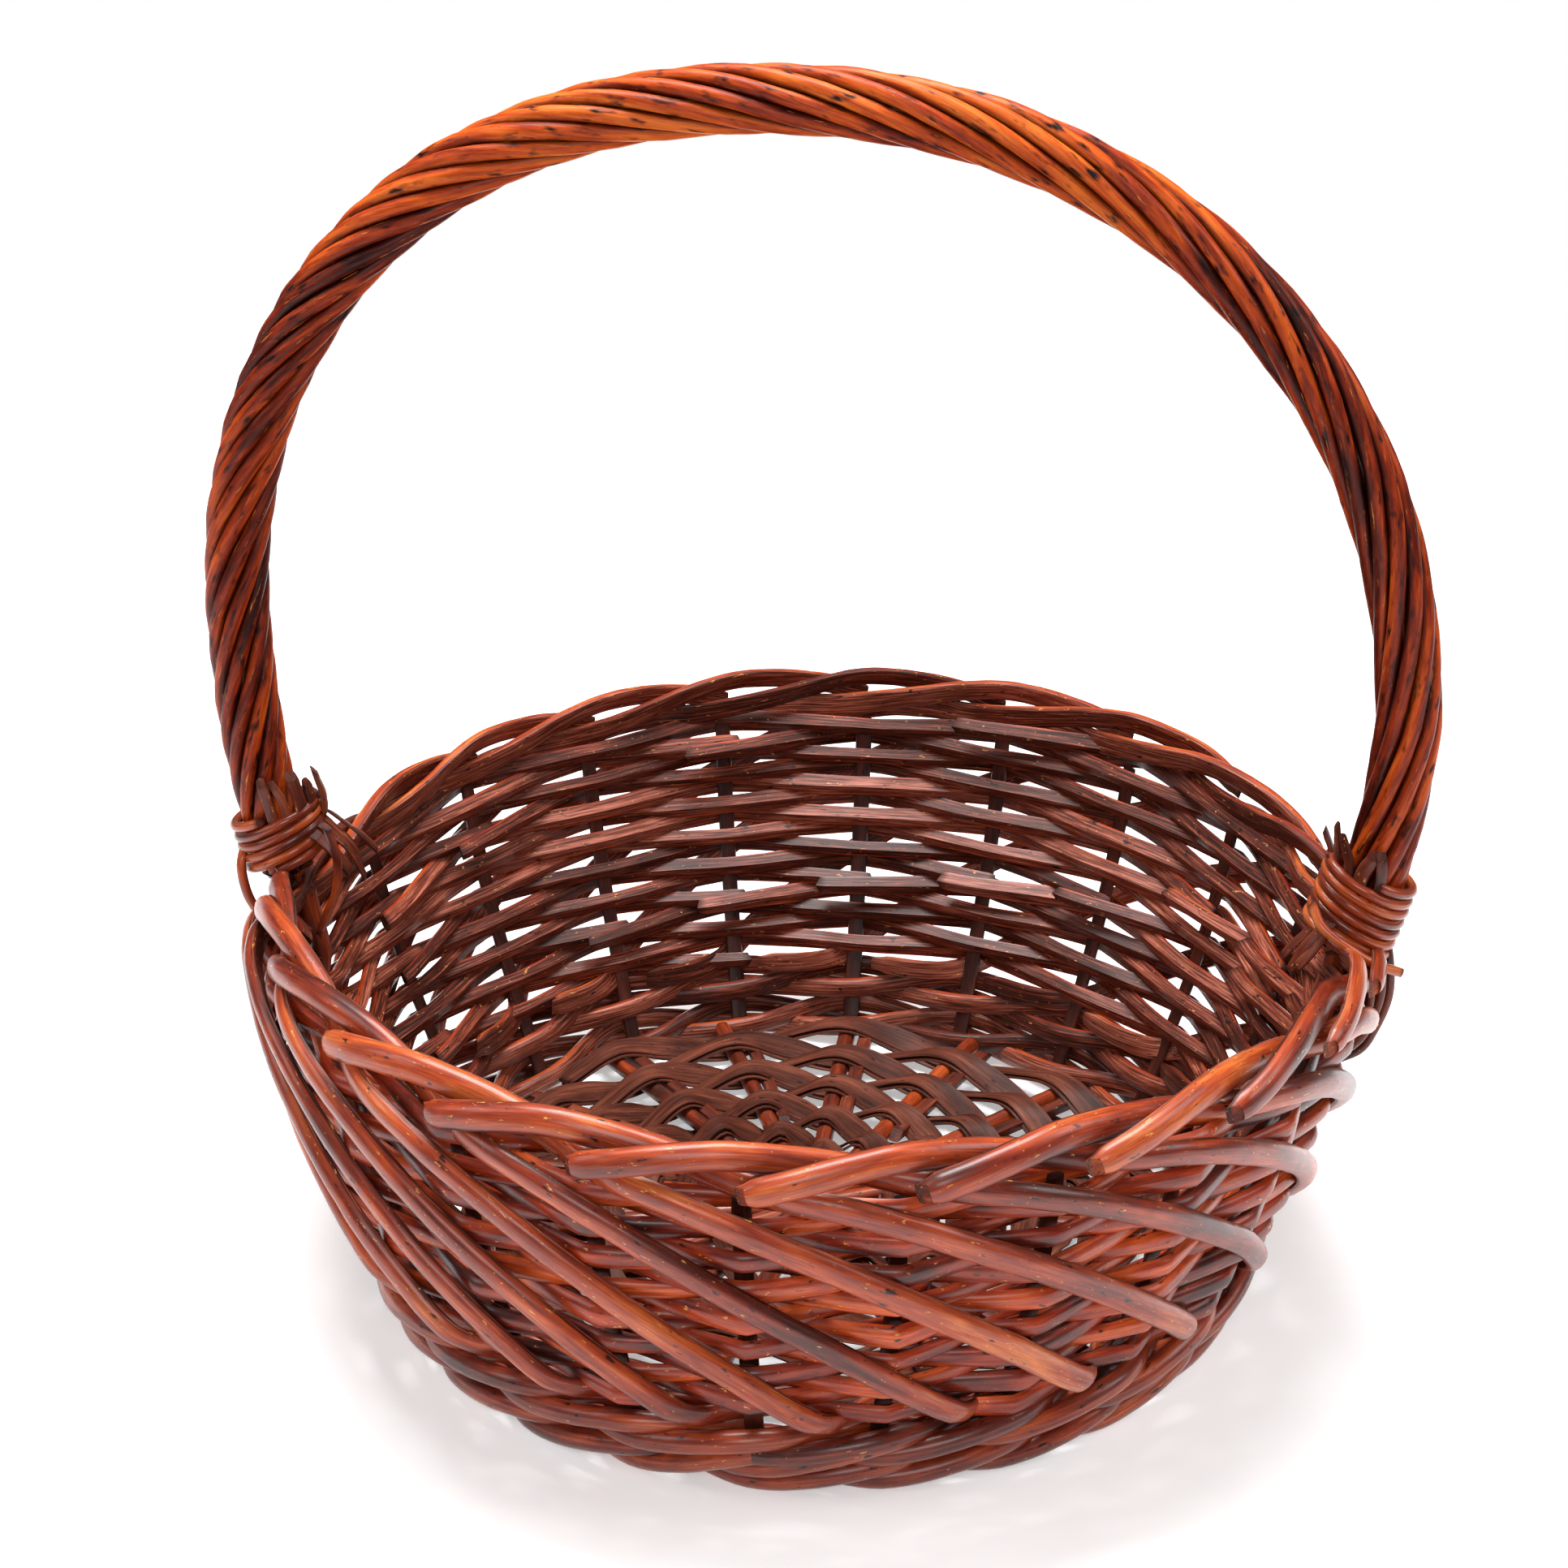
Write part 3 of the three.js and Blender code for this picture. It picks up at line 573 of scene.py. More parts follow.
looks = {
    # orange-brown bark with a soft gloss outside, dull brown grain inside
    "wall": {
        **splitLook,
        "name": "dyed split willow, wall",
        "dye": [(0.3, "#3a0d06"), (0.42, "#77200e"), (0.54, "#a63613"), (0.68, "#cf561e")],
        "pithEdge": -0.2,
        "nickFrom": 0.66,
        "varnish": 0.6,
    },
    # painted shade: nearly black-brown, so that the stakes read as the shaded gaps behind the weave
    "stakes": {
        **barkLook,
        "name": "dyed split willow, stakes",
        "dye": [(0.3, "#1f0b07"), (0.5, "#3c160d"), (0.7, "#5c2617")],
        "roughness": 0.5,
        "varnish": 0.2,
    },
    # browner than the wall, and greyer with more painted sheen
    "foot": {
        **splitLook,
        "name": "dyed split willow, foot",
        "dye": [(0.3, "#42130b"), (0.45, "#7a2917"), (0.56, "#9b3c1e"), (0.7, "#b95428")],
        "pithEdge": -0.8,
        "paintedSheenMost": 0.3,
        "nickFrom": 0.68,
    },
    # the brightest bark, with long patches, grey painted sheen and pale nicks
    "border": {
        **splitLook,
        "name": "dyed split willow, border",
        "patch": (8, 8, 55),
        "dye": [(0.3, "#4a150b"), (0.44, "#882b11"), (0.56, "#b1451a"), (0.72, "#d67334")],
        "pithEdge": 0.3,
        "endDarkness": 0.4,
        "nickFrom": 0.655,
    },
    # dark orange rods that shine a little between the dull splits
    "base sticks": {
        **barkLook,
        "name": "dyed round willow, base",
        "dye": [(0.3, "#300c05"), (0.46, "#6b230b"), (0.6, "#963710"), (0.72, "#b44d1a")],
    },
    # matt dark brown with strong fibres
    "base splits": {
        **barkLook,
        "name": "dyed flat willow, base",
        "dye": [(0.3, "#2c110a"), (0.5, "#522619"), (0.72, "#7a412e")],
        "fibre": (0.6, 1.1, 30),
        "streak": 0.6,
        "paintedSheenMost": 0.2,
        "roughness": 0.6,
        "sheen": 0.16,
        "varnish": 0.05,
    },
    # smooth orange-red rods with scars, painted shade in the creases and painted light that makes them paler
    # at the top
    "handle": {
        **barkLook,
        "name": "dyed round willow, handle",
        "patch": (5, 5, 36),
        "rodShift": 0.16,
        "dye": [(0.3, "#290804"), (0.42, "#5c1807"), (0.53, "#8e2c0e"), (0.66, "#bf4a11"), (0.8, "#dc6a22")],
        # painted shade in the creases, from the rod's belly to this far out, in mm
        "creaseShade": 0.78,
        "creaseShadeFrom": -0.2,
        "creaseShadeTo": 2.4,
        "streak": 0.22,
        # painted light, paler from this height to that one, in mm
        "paintedTopLight": 0.17,
        "paintedTopLightFrom": 385,
        "paintedTopLightTo": 450,
        "paintedSheenMost": 0.03,
        "roughness": 0.42,
        "sheen": 0.14,
        "varnish": 0.12,
        "varnishRoughness": 0.3,
        "scar": (3, 3, 9),
        "scarFrom": 0.56,
        "scarEdge": 0.16,
        "scarColour": "#1c0706",
        "nick": (1.1, 1.1, 12),
        "nickFrom": 0.66,
        "nickColour": "#c97a32",
    },
    # thin shiny orange-brown rods
    "bindings": {
        **barkLook,
        "name": "dyed thin willow, bindings",
        "dye": [(0.3, "#5a1b0c"), (0.45, "#983814"), (0.58, "#c05724"), (0.72, "#dd8443")],
        "paintedSheenMost": 0.15,
        "varnishRoughness": 0.18,
    },
    # dull dark splits and cut ends
    "loose ends": {
        **barkLook,
        "name": "dyed thin splits, cut ends",
        "dye": [(0.3, "#35130b"), (0.5, "#642615"), (0.7, "#8e4428")],
        "endDarkness": 0.5,
        "varnish": 0.3,
        "nickFrom": 0.66,
    },
}


# Stakes: flat splits that stand in the wall
stake = {"width": 6.6, "thickness": 2.2, "floorGap": 2, "rise": 6, "points": 9}


def addStakes():
    ways = []
    whole = wallTop + stake["rise"] - stake["floorGap"]
    for i in range(bowl["stakes"]):
        turn = i * stakeStep
        way = []
        for j in range(stake["points"]):
            height = stake["floorGap"] + whole * j / (stake["points"] - 1)
            way.append((onWall(turn, height, 0), wallNormal(turn, height), 1))
        ways.append(way)
    section = flatSection(stake["width"], stake["thickness"], 0.5)
    sizes = {**section, "Step": 6, "Size Spread": 0.05, "Wander": 0.3, "Seed": 11}
    nodes = [f"stake_{i + 1:02d}" for i in range(bowl["stakes"])]
    growPiece("stakes", ways, sizes, dyedWillow("stakes"), nodes)


# Foot: two rounds of a wale of three thick rods, each over two stakes and behind the third
foot = {
    "floorGap": 0.2,
    "rod": 8.3,
    "belly": 3,
    "rounds": 2,
    "rods": 3,
    "reach": 6.4,
    "kink": 1.3,
    "row": 7.6,
    "climb": 3,  # stake spaces in which a rod rises to the second round
    "steps": (0, 1, 0.5),  # rows up, at the two stakes outside and the one inside
}


# place counts stakes from the start of the wale; phase is 0 and 1 outside, 2 inside
def footHeightAt(place, phase):
    climb = min(max((place - bowl["stakes"] + foot["climb"] / 2) / foot["climb"], 0), 1)
    climb = climb * climb * (3 - 2 * climb)
    step = foot["steps"][phase]
    return foot["floorGap"] + foot["rod"] / 2 + foot["row"] * (step + 2 * climb)


def addFoot():
    ways = []
    for k in range(foot["rods"]):
        way = []
        last = foot["rounds"] * bowl["stakes"] - 1
        last += (2 - last % 3) % 3
        for i in range(-1, last + 1):
            phase = i % 3
            height = footHeightAt(i + k, phase)
            turn = (i + k) * stakeStep
            reach = -foot["reach"] if phase == 2 else foot["reach"] + foot["kink"]
            way.append((onWall(turn, height, reach), outwardsAt(turn), 1))
        ways.append(way)
    section = {**roundSection(foot["rod"]), "Belly": foot["belly"], "Belly Power": 0.7}
    sizes = {**section, "Step": 4, "Size Spread": 0.04, "Wander": 0.9, "Relief": 0.5, "Seed": 21, "Sides": 14}
    growPiece("footWale", ways, sizes, dyedWillow("foot"), ["foot_wale"])


# Wall: split rods in plain weave; each length starts and ends inside, behind a stake
weave = {
    "height": 7.4,
    "thickness": 5,
    "crown": 2.8,  # bark side, round
    "belly": 2.9,  # pith side, split to a blunt ridge
    "outerSwell": 1.27,
    "grip": 0.13,  # stake spaces on either side of a stake where a split lies against it
    "gripReach": 0.9,
    "row": 6.9,
    "rise": 3.3,  # how far the first row lies above the foot
    "turns": 8,
    "reach": 3.9,
    "kink": 1,
    "lap": 0.3,  # how far an end runs past its stake, in stake spaces
    "clear": 0.3,  # mm between an end and the split that it lies behind
    "splay": 1,  # and how much further its tip stands off
    "start": 0.1,  # how far a length begins before its first stake
    "lengths": (6, 8, 10, 12, 14),  # all in stake spaces
}


def weaveRow(i):
    return footHeight + weave["rise"] + 2 * weave["row"] * i / bowl["stakes"]


def weavePoint(first, i, side, extra=0, share=1):
    turn = (first + i) * stakeStep
    height = weaveRow(i)
    reach = weave["reach"] + weave["kink"] if side > 0 else -weave["reach"] - extra
    return (onWall(turn, height, reach * share), wallNormal(turn, height),
            weave["outerSwell"] if side > 0 else 1)


def weaveLength(first, start, end):
    way = [weavePoint(first, start - weave["start"], -1)]
    for i in range(start, end):
        side = -1 if (i - start) % 2 == 0 else 1
        if i > start:
            way.append(weavePoint(first, i - weave["grip"], side, share=weave["gripReach"]))
        way.append(weavePoint(first, i + weave["grip"], side, share=weave["gripReach"]))
    inner = weave["thickness"] + weave["clear"]
    way.append(weavePoint(first, end, -1, inner))
    way.append(weavePoint(first, end + weave["lap"], -1, inner + weave["splay"]))
    return way


def addWeave():
    chance = random.Random(5)
    ways = []
    for first, start in ((0, 1), (bowl["stakes"] // 2, 1)):
        last = int(weave["turns"] * bowl["stakes"])
        while start < last - 2:
            end = min(start + chance.choice(weave["lengths"]), last - last % 2 + start % 2 - 2)
            if end <= start:
                break
            ways.append(weaveLength(first, start, end))
            start = end
    sizes = {"Width": weave["height"], "Crown": weave["crown"], "Belly": weave["belly"], "Belly Power": 2.0,
             "Belly Edge Power": 2.0, "Edge Power": 0.9, "Step": 3.5, "Size Spread": 0.14, "Wander": 1.6,
             "Wander Length": 45, "Relief": 0.35, "Seed": 31, "Sides": 16}
    growPiece("wallWeave", ways, sizes, dyedWillow("wall"), ["weaver_a", "weaver_b"])


# Border: thick split rods, from a cut tip outside over the rim, in behind the next ones and down the wall
border = {
    "width": 10.2,
    "crown": 4.2,
    "belly": 1.6,
    "phase": 0.02,  # how far past its stake a tip lies, in stake spaces
    "sway": 0.2,  # and how much further at the right, or less at the left
    "hold": 2.4,  # stake spaces over which a rod's start differs to the left and right
    "leftPull": 9,  # how much further in its tip lies there, in mm
    "rightPull": 1,
    "backThin": 0.12,  # the rods at the back are thinner by this share
}
# stake spaces from the tip, then mm outside the wall, mm below the rim, and the roll
borderWay = [
    (0, 10.5, 9.5, 0.05),
    (0.3, 9.3, 4.8, 0.15),
    (0.6, 6.5, 1.3, 0.3),
    (0.9, 3, -0.3, 0.4),
    (1.2, -0.5, 1.6, 0.4),
    (1.5, -3.3, 5, 0.3),
    (1.8, -3.3, 8.4, 0.15),
    (2.1, 0.4, 11.5, 0),
    (2.4, 5.5, 13, -0.2),
    (2.8, 9.3, 16.5, -0.3),
    (3.3, 10.5, 27.5, -0.3),
    (4, 10.6, 49.5, -0.3),
    (4.8, 10.6, 80, -0.33),
    (5.5, 10, 110, -0.35),
    (5.75, 5.5, 120, -0.3),
    (5.95, -2, 123, -0.2),
    (6.25, -8.5, 122.5, 0),
    (6.6, -9.5, 121.5, 0),
]


def addBorder():
    ways = []
    for i in range(bowl["stakes"]):
        tip = (i + border["phase"] + border["sway"] * math.sin(i * stakeStep)) * stakeStep
        x = outwardsAt(tip).x
        pull = (border["leftPull"] if x < 0 else border["rightPull"]) * abs(x) ** 1.5
        way = []
        for spaces, reach, depth, roll in borderWay:
            turn = tip + spaces * stakeStep
            reach -= pull * max(0, 1 - spaces / border["hold"])
            outwards = outwardsAt(turn)
            axis = up.cross(outwards)
            swell = 1 - border["backThin"] * max(outwards.y, 0)
            point = onWall(turn, bowl["rimHeight"] - depth, reach)
            way.append((point, Matrix.Rotation(-roll, 3, axis) @ outwards, swell))
        ways.append(way)
    sizes = {"Width": border["width"], "Crown": border["crown"], "Belly": border["belly"], "Belly Power": 0.3,
             "Edge Power": 0.85, "Belly Edge Power": 0.7, "Step": 2.5, "Size Spread": 0.07, "Wander": 1.6,
             "Relief": 0.6, "Relief Length": 24, "Slant": 0.9, "End Thinness": 0.3, "End Length": 7,
             "Seed": 41, "Sides": 18}
    nodes = [f"border_rod_{i + 1:02d}" for i in range(bowl["stakes"])]
    growPiece("borderRods", ways, sizes, dyedWillow("border"), nodes)


# Base: round sticks from the middle and a wide flat split woven over and under them
base = {
    "arms": 17,
    "turn": 0.5,  # how far round the first arm stands, in arms
    "stick": 7.2,
    "stickPoints": (0, 0.3, 0.5, 0.7, 0.85, 1.035),  # from the middle to the inside of the foot, as shares
    "crown": 2,
    "edgeHeight": 9.5,
    "edgeRadius": 146.5,
    "split": 10.4,
    "splitThickness": 1.3,
    "plyAside": 1.6,  # the split is two layers, the lower one nearer to the middle
    "plyUnder": 1.5,
    "plyThin": 0.08,  # and narrower by this share
    "splitPitch": 13,
    "splitStart": 30,
    "rimGap": 4,
    "lift": 6.2,
    "tiltIn": 0.55,  # how far the split leans to the middle where it rises
    "tiltOut": 0.25,  # and to the rim where it falls
}


def armAngle(i):
    return (i + base["turn"]) / base["arms"] * fullTurn


def onBase(angle, radius, lift):
    share = radius / base["edgeRadius"]
    height = base["edgeHeight"] + base["crown"] * (1 - share * share) + lift
    return Vector((radius * math.sin(angle), -radius * math.cos(angle), height))


def addBaseSticks():
    ways = []
    for i in range(base["arms"]):
        angle = armAngle(i)
        ways.append([(onBase(angle, share * base["edgeRadius"], 0), up, 1) for share in base["stickPoints"]])
    section = roundSection(base["stick"])
    sizes = {**section, "Step": 5, "Size Spread": 0.08, "Wander": 0.8, "Relief": 0.4, "Seed": 51}
    growPiece("baseSticks", ways, sizes, dyedWillow("base sticks"), ["base_sticks"])


# a squared peg is pushed into the base weave beside each stick
peg = {
    "width": 5.6,
    "thickness": 4,
    "aside": -8.6,
    "lean": 0.5,
    "points": (0.44, 0.6, 0.75, 0.9, 1),  # from its inner to its outer end, as shares of the base
    "short": 2,
    "lift": 0.4,
}


def addBasePegs():
    ways = []
    for i in range(base["arms"]):
        angle = armAngle(i)
        sideways = Vector((math.cos(angle), math.sin(angle), 0))
        way = []
        for share in peg["points"]:
            aside = sideways * peg["aside"] * (1 - peg["lean"] * (1 - share))
            radius = share * (base["edgeRadius"] - peg["short"])
            way.append((onBase(angle, radius, peg["lift"]) + aside, up, 1))
        ways.append(way)
    section = {**flatSection(peg["width"], peg["thickness"], 0.35), "Belly Edge Power": 0.35}
    sizes = {**section, "Step": 5, "Size Spread": 0.15, "Wander": 1.4, "Relief": 0.4, "Slant": 1.2,
             "Seed": 55}
    growPiece("basePegs", ways, sizes, dyedWillow("loose ends"))


def addBaseSplits():
    ways = []
    last = base["edgeRadius"] - base["rimGap"]
    count = int((last - base["splitStart"]) / base["splitPitch"] * base["arms"])
    for ply in range(2):
        way = []
        for i in range(count):
            over = i % 2 == 0
            lean = -base["tiltOut"] if over else base["tiltIn"]
            for place, lift, tilt in ((i, 1, 0), (i + 0.5, 0, lean)):
                angle = armAngle(place)
                radius = base["splitStart"] + base["splitPitch"] * place / base["arms"]
                radius -= base["plyAside"] * ply
                outwards = Vector((math.sin(angle), -math.cos(angle), 0))
                height = lift * (base["lift"] if over else -base["lift"]) - base["plyUnder"] * ply
                way.append((onBase(angle, radius, height), up - outwards * tilt, 1 - base["plyThin"] * ply))
        ways.append(way)
    section = flatSection(base["split"], base["splitThickness"], 0.3)
    sizes = {**section, "Step": 3, "Size Spread": 0, "Wander": 1.0, "Relief": 0.2, "Seed": 61}
    growPiece("baseSplits", ways, sizes, dyedWillow("base splits"), ["base_weaver"])


# Handle: a bow in the XZ plane, nine rods twisted round it
handle = {
    "halfWidth": 212,
    "footHalfWidth": 202,
    "shoulder": 230,
    "leftFoot": 148,
    "rightFoot": 140,
    "top": 445,
    "lean": 12,  # how far the top stands to the left
    "roundness": 2.15,  # 2 is an ellipse, more is squarer
    "rods": 9,
    "rod": 6.1,
    "ring": 8.9,
    "leftPitch": 165,  # the twist slackens towards the right
    "rightPitch": 270,
    "slackens": 0.35,  # from this share of the bow, and over this share
    "samples": 240,
    "archPoints": 160,
    "legPoints": 12,
    "replaced": 8,  # rods of the frame
}


def archPoint(share):
    angle = math.pi * (1 - share)
    power = 2 / handle["roundness"]
    rise = max(math.sin(angle), 0) ** power
    x = math.copysign(abs(math.cos(angle)) ** power,
                      math.cos(angle)) * handle["halfWidth"] - handle["lean"] * rise
    return Vector((x, 0, handle["shoulder"] + (handle["top"] - handle["shoulder"]) * rise))


def legPoint(side, height):
    share = (handle["shoulder"] - height) / (handle["shoulder"] - bowl["rimHeight"])
    drawnIn = (handle["halfWidth"] - handle["footHalfWidth"]) * share * share
    return Vector((side * (handle["halfWidth"] - drawnIn), 0, height))


def handleLine():
    line = [archPoint(i / handle["archPoints"]) for i in range(handle["archPoints"] + 1)]
    for i in range(1, handle["legPoints"] + 1):
        left, right = [handle["shoulder"] + (handle[end] - handle["shoulder"]) * i / handle["legPoints"]
                       for end in ("leftFoot", "rightFoot")]
        line.insert(0, legPoint(-1, left))
        line.append(legPoint(1, right))
    lengths = [0]
    for a, b in zip(line, line[1:]):
        lengths.append(lengths[-1] + (b - a).length)
    return line, lengths


bowLine, bowLengths = handleLine()
bowLength = bowLengths[-1]
depthwise = Vector((0, 1, 0))


# centre, direction along and inwards direction of the bow at a distance from its left foot
def onBow(distance):
    distance = min(max(distance, 0), bowLength)
    k = next((i for i in range(1, len(bowLine) - 1) if bowLengths[i] >= distance), len(bowLine) - 1)
    a, b = bowLine[k - 1], bowLine[k]
    share = (distance - bowLengths[k - 1]) / (bowLengths[k] - bowLengths[k - 1])
    before = bowLine[max(k - 2, 0)]
    after = bowLine[min(k + 1, len(bowLine) - 1)]
    along = (after - before).normalized()
    return a.lerp(b, share), along, -along.cross(depthwise)


def addHandle():
    ways = []
    for i in range(handle["rods"]):
        way = []
        twist = fullTurn * i / handle["rods"]
        step = bowLength / handle["samples"]
        for j in range(handle["samples"] + 1):
            centre, _, inwards = onBow(j * step)
            slack = min(max((j / handle["samples"] - handle["slackens"]) / handle["slackens"], 0), 1)
            pitch = handle["leftPitch"] + (handle["rightPitch"] - handle["leftPitch"]) * slack
            twist += fullTurn * step / pitch
            radial = inwards * math.cos(twist) + depthwise * math.sin(twist)
            way.append((centre + radial * handle["ring"], radial, 1))
        ways.append(way)
    sizes = {**roundSection(handle["rod"]), "Step": 3.5, "Size Spread": 0.09, "Wander": 0.9,
             "Wander Length": 40, "Relief": 0.5, "Relief Length": 14, "Seed": 71, "Sides": 12}
    nodes = [f"handle_rod_{i + 1}" for i in range(handle["replaced"])]
    growPiece("handleTwist", ways, sizes, dyedWillow("handle"), nodes)


# Core: two thick rods inside the twist that come out below the bindings and go down beside a stake
core = {
    "rod": 9.4,
    "apart": 4.6,
    "tongue": (60, 100),  # heights between which each end is shaved thin
    "tongueSwell": 0.42,
    "bare": (124, 146),
    "bound": (4, 14, 26),  # distances along the bow under the bindings
    "middleFrom": 30,  # a single rod fills the twist from here on
    "middlePoints": 60,
}


def addCore():
    ways = []
    for k in (-1, 1):
        for side in (-1, 1):
            legTurn = turnAt(side * fullTurn / 4)
            outwards = Vector((side, 0, 0))
            way = [(onWall(legTurn, height, 0), outwards, core["tongueSwell"]) for height in core["tongue"]]
            way += [(onWall(legTurn, height, -k * core["apart"]), outwards, 1) for height in core["bare"]]
            for distance in core["bound"]:
                centre, _, inwards = onBow(distance if side < 0 else bowLength - distance)
                way.append((centre + inwards * k * core["apart"], inwards, 1))
            ways.append(way)
    centreWay = []
    for j in range(core["middlePoints"] + 1):
        reach = bowLength - 2 * core["middleFrom"]
        centre, _, inwards = onBow(core["middleFrom"] + reach * j / core["middlePoints"])
        centreWay.append((centre, inwards, 1))
    ways.append(centreWay)
    section = roundSection(core["rod"])
    sizes = {**section, "Step": 4, "Size Spread": 0.03, "Wander": 0.3, "Relief": 0.4, "Seed": 81}
    growPiece("handleCore", ways, sizes, dyedWillow("base sticks"), ["handle_core"])


# Bindings: one thin rod wound round each foot of the handle
binding = {
    "rod": 3.9,
    "start": 4,
    "pitch": 4.2,
    "slant": 3,
    "round": 14.6,
    "inner": 17.5,  # it also holds short splits on the inner side
    "left": 5,
    "right": 7,
    "steps": 24,
}


def bindingWay(side, turns):
    way = []
    for j in range(turns * binding["steps"] + 1):
        angle = j / binding["steps"] * fullTurn
        distance = binding["start"] + binding["pitch"] * j / binding["steps"]
        centre, along, inwards = onBow(distance if side < 0 else bowLength - distance)
        reach = binding["inner"] if math.sin(angle) > 0 else binding["round"]
        radial = -depthwise * math.cos(angle) * binding["round"] + inwards * math.sin(angle) * reach
        point = centre + radial + along * (-side) * binding["slant"] * math.sin(angle)
        way.append((point, radial, 1))
    return way


def addBindings():
    sizes = {**roundSection(binding["rod"]), "Step": 2, "Size Spread": 0, "Wander": 0.7,
             "Wander Length": 25, "Relief": 0.3, "Relief Length": 10, "Seed": 91, "Sides": 10}
    finish = dyedWillow("bindings")
    for side, end in ((-1, "left"), (1, "right")):
        ways = [bindingWay(side, binding[end])]
        growPiece("binding" + end.capitalize(), ways, sizes, finish, ["binding_" + end])


# Loose ends at the handle's feet, from the photo: thin rods that slipped out of the bindings, and the cut
# ends of the splits that the bindings hold
looseRods = {
    "rod": 3.4,
    "ways": [
        [(-181, -13, 171), (-177, -15, 159), (-178, -16, 146), (-182, -15, 136), (-186, -13, 126)],
        [(-214, -8, 160), (-215, -12, 152), (-213, -14, 142), (-209, -14, 133), (-205, -12, 122)],
        [(183, -12, 163), (187, -18, 156), (199, -21, 148), (208, -20, 143), (217, -15, 138)],
    ],
}
fanRods = {
    "rod": 2.7,
    "ways": [
        [(210, -3, 150), (213, -5, 138), (214, -6, 124), (210, -8, 111), (205, -9, 102), (195, -10, 97)],
        [(207, -8, 150), (210, -10, 137), (210, -11, 124), (205, -14, 111), (198, -15, 104), (191, -14, 101)],
        [(204, -11, 150), (206, -13, 137), (206, -15, 123), (201, -17, 112), (195, -18, 106)],
        [(200, -13, 150), (203, -15, 137), (202, -17, 125), (198, -19, 115), (192, -21, 109)],
        [(197, -14, 150), (199, -17, 138), (199, -19, 127), (196, -21, 117)],
    ],
}
cutSplits = {
    "width": 4.2,
    "thickness": 2,
    "ways": [
        [(-201, -12, 168), (-202, -13, 178), (-205, -13, 187)],
        [(-196, -12, 168), (-197, -12, 178), (-201, -12, 186)],
        [(-191, -8, 168), (-192, -8, 179), (-195, -8, 189)],
        [(-188, -3, 168), (-189, -3, 177), (-190, -3, 184)],
        [(-186, 2, 168), (-186, 2, 178), (-189, 3, 187)],
        [(-188, -4, 170), (-182, -3, 164), (-176, -2, 157), (-170, -2, 145)],
        [(-187, 1, 169), (-181, 2, 163), (-175, 2, 157), (-173, 2, 148)],
        [(-187, -8, 166), (-182, -8, 161), (-178, -7, 155), (-175, -6, 149)],
        [(-186, 5, 170), (-179, 5, 165), (-173, 5, 160), (-167, 6, 153)],
        [(196, -9, 168), (195, -10, 179), (192, -10, 189)],
        [(199, -12, 168), (200, -13, 177), (204, -14, 184)],
        [(192, -4, 168), (191, -4, 179), (190, -5, 191)],
        [(190, 2, 168), (189, 2, 178), (186, 3, 186)],
        [(206, -13, 168), (207, -14, 176), (206, -14, 184)],
        [(190, -10, 158), (187, -12, 152), (182, -12, 145), (177, -12, 134)],
        [(191, -13, 156), (187, -14, 149), (183, -15, 143), (179, -15, 137)],
        [(189, -5, 158), (184, -7, 151), (179, -8, 145), (174, -8, 138)],
    ],
}
legReach = 204  # mm from the middle of the basket to each leg of the handle


def looseWays(ends):
    ways = []
    for points in ends["ways"]:
        leg = Vector((math.copysign(legReach, points[0][0]), 0, 0))
        ways.append([(Vector(p), (Vector(p) - leg) * Vector((1, 1, 0)), 1) for p in points])
    return ways


def addLooseEnds():
    sizes = {**roundSection(looseRods["rod"]), "Step": 2, "Size Spread": 0.12, "Wander": 0.8,
             "Wander Length": 20, "Relief": 0.3, "Relief Length": 10, "Seed": 101, "Sides": 10}
    growPiece("looseRods", looseWays(looseRods), sizes, dyedWillow("bindings"))
    growPiece("fanRods", looseWays(fanRods), sizes, dyedWillow("loose ends"))
    sizes = {**flatSection(cutSplits["width"], cutSplits["thickness"], 0.5), "Step": 2, "Size Spread": 0.3,
             "Wander": 2, "Wander Length": 16, "Relief": 0.6, "Relief Length": 6, "Slant": 1.5, "Seed": 111}
    growPiece("cutSplits", looseWays(cutSplits), sizes, dyedWillow("loose ends"))


addStakes()
addFoot()
addWeave()
addBorder()
addBaseSticks()
addBasePegs()
addBaseSplits()
addHandle()
addCore()
addBindings()
addLooseEnds()


# Studio: a white floor that keeps the shadow, a white room and large soft lamps
studio = {"floor": 2.4, "glow": 0.38, "room": 0.1, "aim": (0, 0, 0.15)}
lamps = {
    "front": {"place": (0.1, -1.5, 1.0), "size": (0.8, 0.5), "power": 8},
    "right": {"place": (1.4, -0.1, 1.2), "size": (0.8, 0.8), "power": 10},
    "left": {"place": (-1.3, -0.5, 1.1), "size": (0.7, 0.7), "power": 6},
    "above": {"place": (-0.15, 0.25, 1.9), "size": (1.2, 0.9), "power": 56},
}


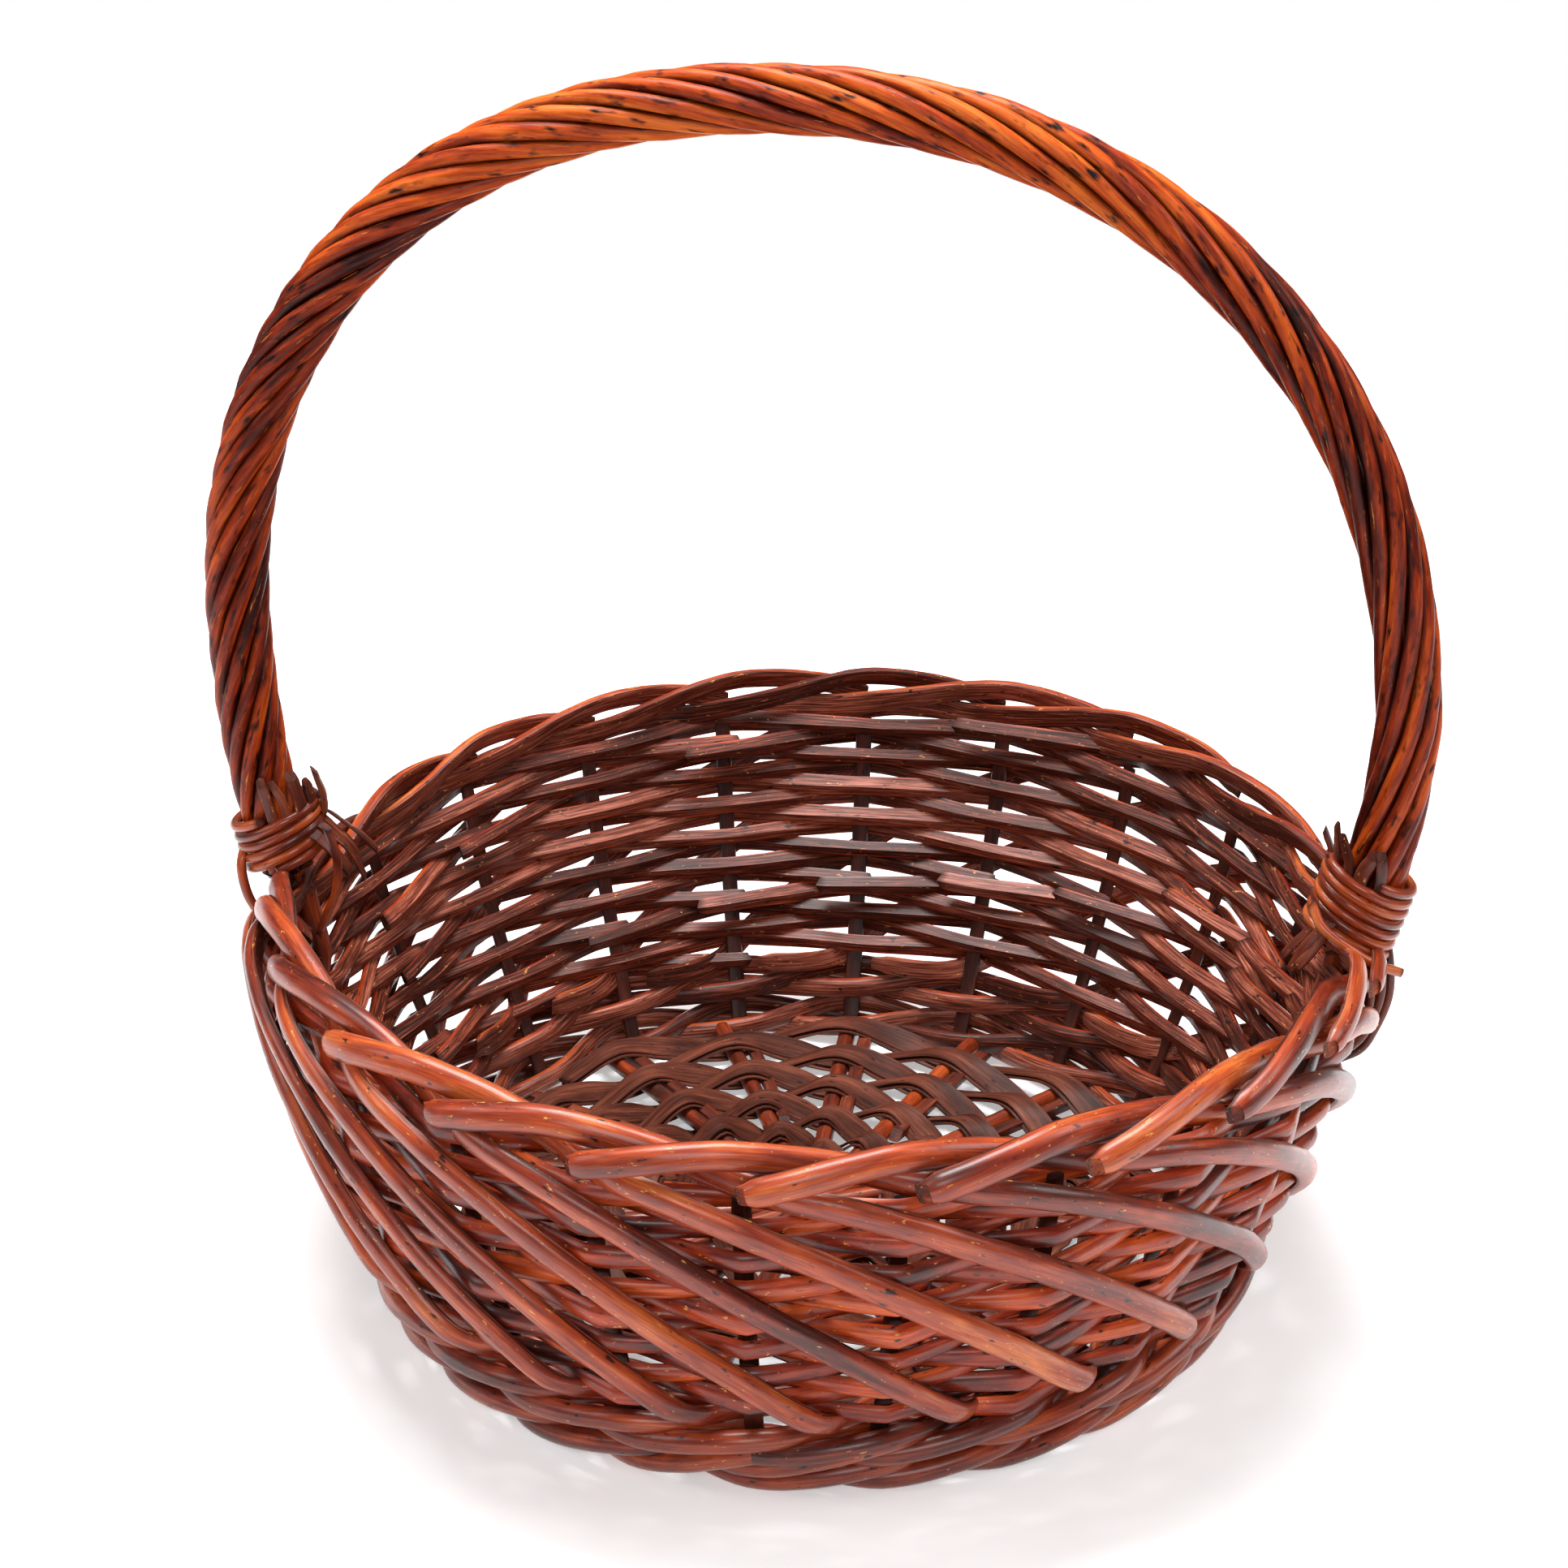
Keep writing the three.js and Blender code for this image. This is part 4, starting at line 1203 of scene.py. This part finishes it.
def addFloor():
    mesh = bpy.data.meshes.new("floor")
    half = studio["floor"] / 2
    mesh.from_pydata([(-half, -half, 0), (half, -half, 0), (half, half, 0), (-half, half, 0)], [],
                     [(0, 1, 2, 3)])
    floor = addObject("floor", mesh)
    material = bpy.data.materials.new("matt white paper")
    tree = emptiedTree(material)
    paper = addNode(tree, "ShaderNodeBsdfDiffuse", {"Color": linearColour("#f4f4f4"), "Roughness": 0.0})
    glow = addNode(tree, "ShaderNodeEmission", {"Color": (1, 1, 1, 1), "Strength": studio["glow"]})
    seen = addNode(tree, "ShaderNodeLightPath", give="Is Camera Ray")
    mirrored = addNode(tree, "ShaderNodeLightPath", give="Is Glossy Ray")
    seen = addNode(tree, "ShaderNodeMath", [seen, mirrored], operation="MAXIMUM")
    lit = addNode(tree, "ShaderNodeAddShader", [paper, glow])
    both = addNode(tree, "ShaderNodeMixShader", {"Fac": seen, 1: paper, 2: lit})
    addNode(tree, "ShaderNodeOutputMaterial", {"Surface": both})
    mesh.materials.append(material)


def addRoom():
    world = bpy.data.worlds.new("white room")
    bpy.context.scene.world = world
    tree = emptiedTree(world)
    path = addNode(tree, "ShaderNodeLightPath").node
    rays = [path.outputs[name] for name in ("Is Camera Ray", "Is Transmission Ray")]
    seen = addNode(tree, "ShaderNodeMath", [rays[0], rays[1]], operation="ADD")
    strength = addNode(tree, "ShaderNodeMapRange", {"Value": seen, "To Min": studio["room"], "To Max": 1.0})
    sky = addNode(tree, "ShaderNodeBackground", {"Color": (1, 1, 1, 1), "Strength": strength})
    addNode(tree, "ShaderNodeOutputWorld", {"Surface": sky})


def addLamp(name):
    data = bpy.data.lights.new(name, "AREA")
    data.shape = "RECTANGLE"
    data.size, data.size_y = lamps[name]["size"]
    data.energy = lamps[name]["power"]
    lamp = addObject(name, data)
    lamp.location = lamps[name]["place"]
    ahead = Vector(studio["aim"]) - Vector(lamps[name]["place"])
    lamp.rotation_euler = ahead.to_track_quat("-Z", "Y").to_euler()


addFloor()
addRoom()
for lampName in lamps:
    addLamp(lampName)
bpy.context.scene.view_settings.view_transform = "Standard"
print("studio ready")
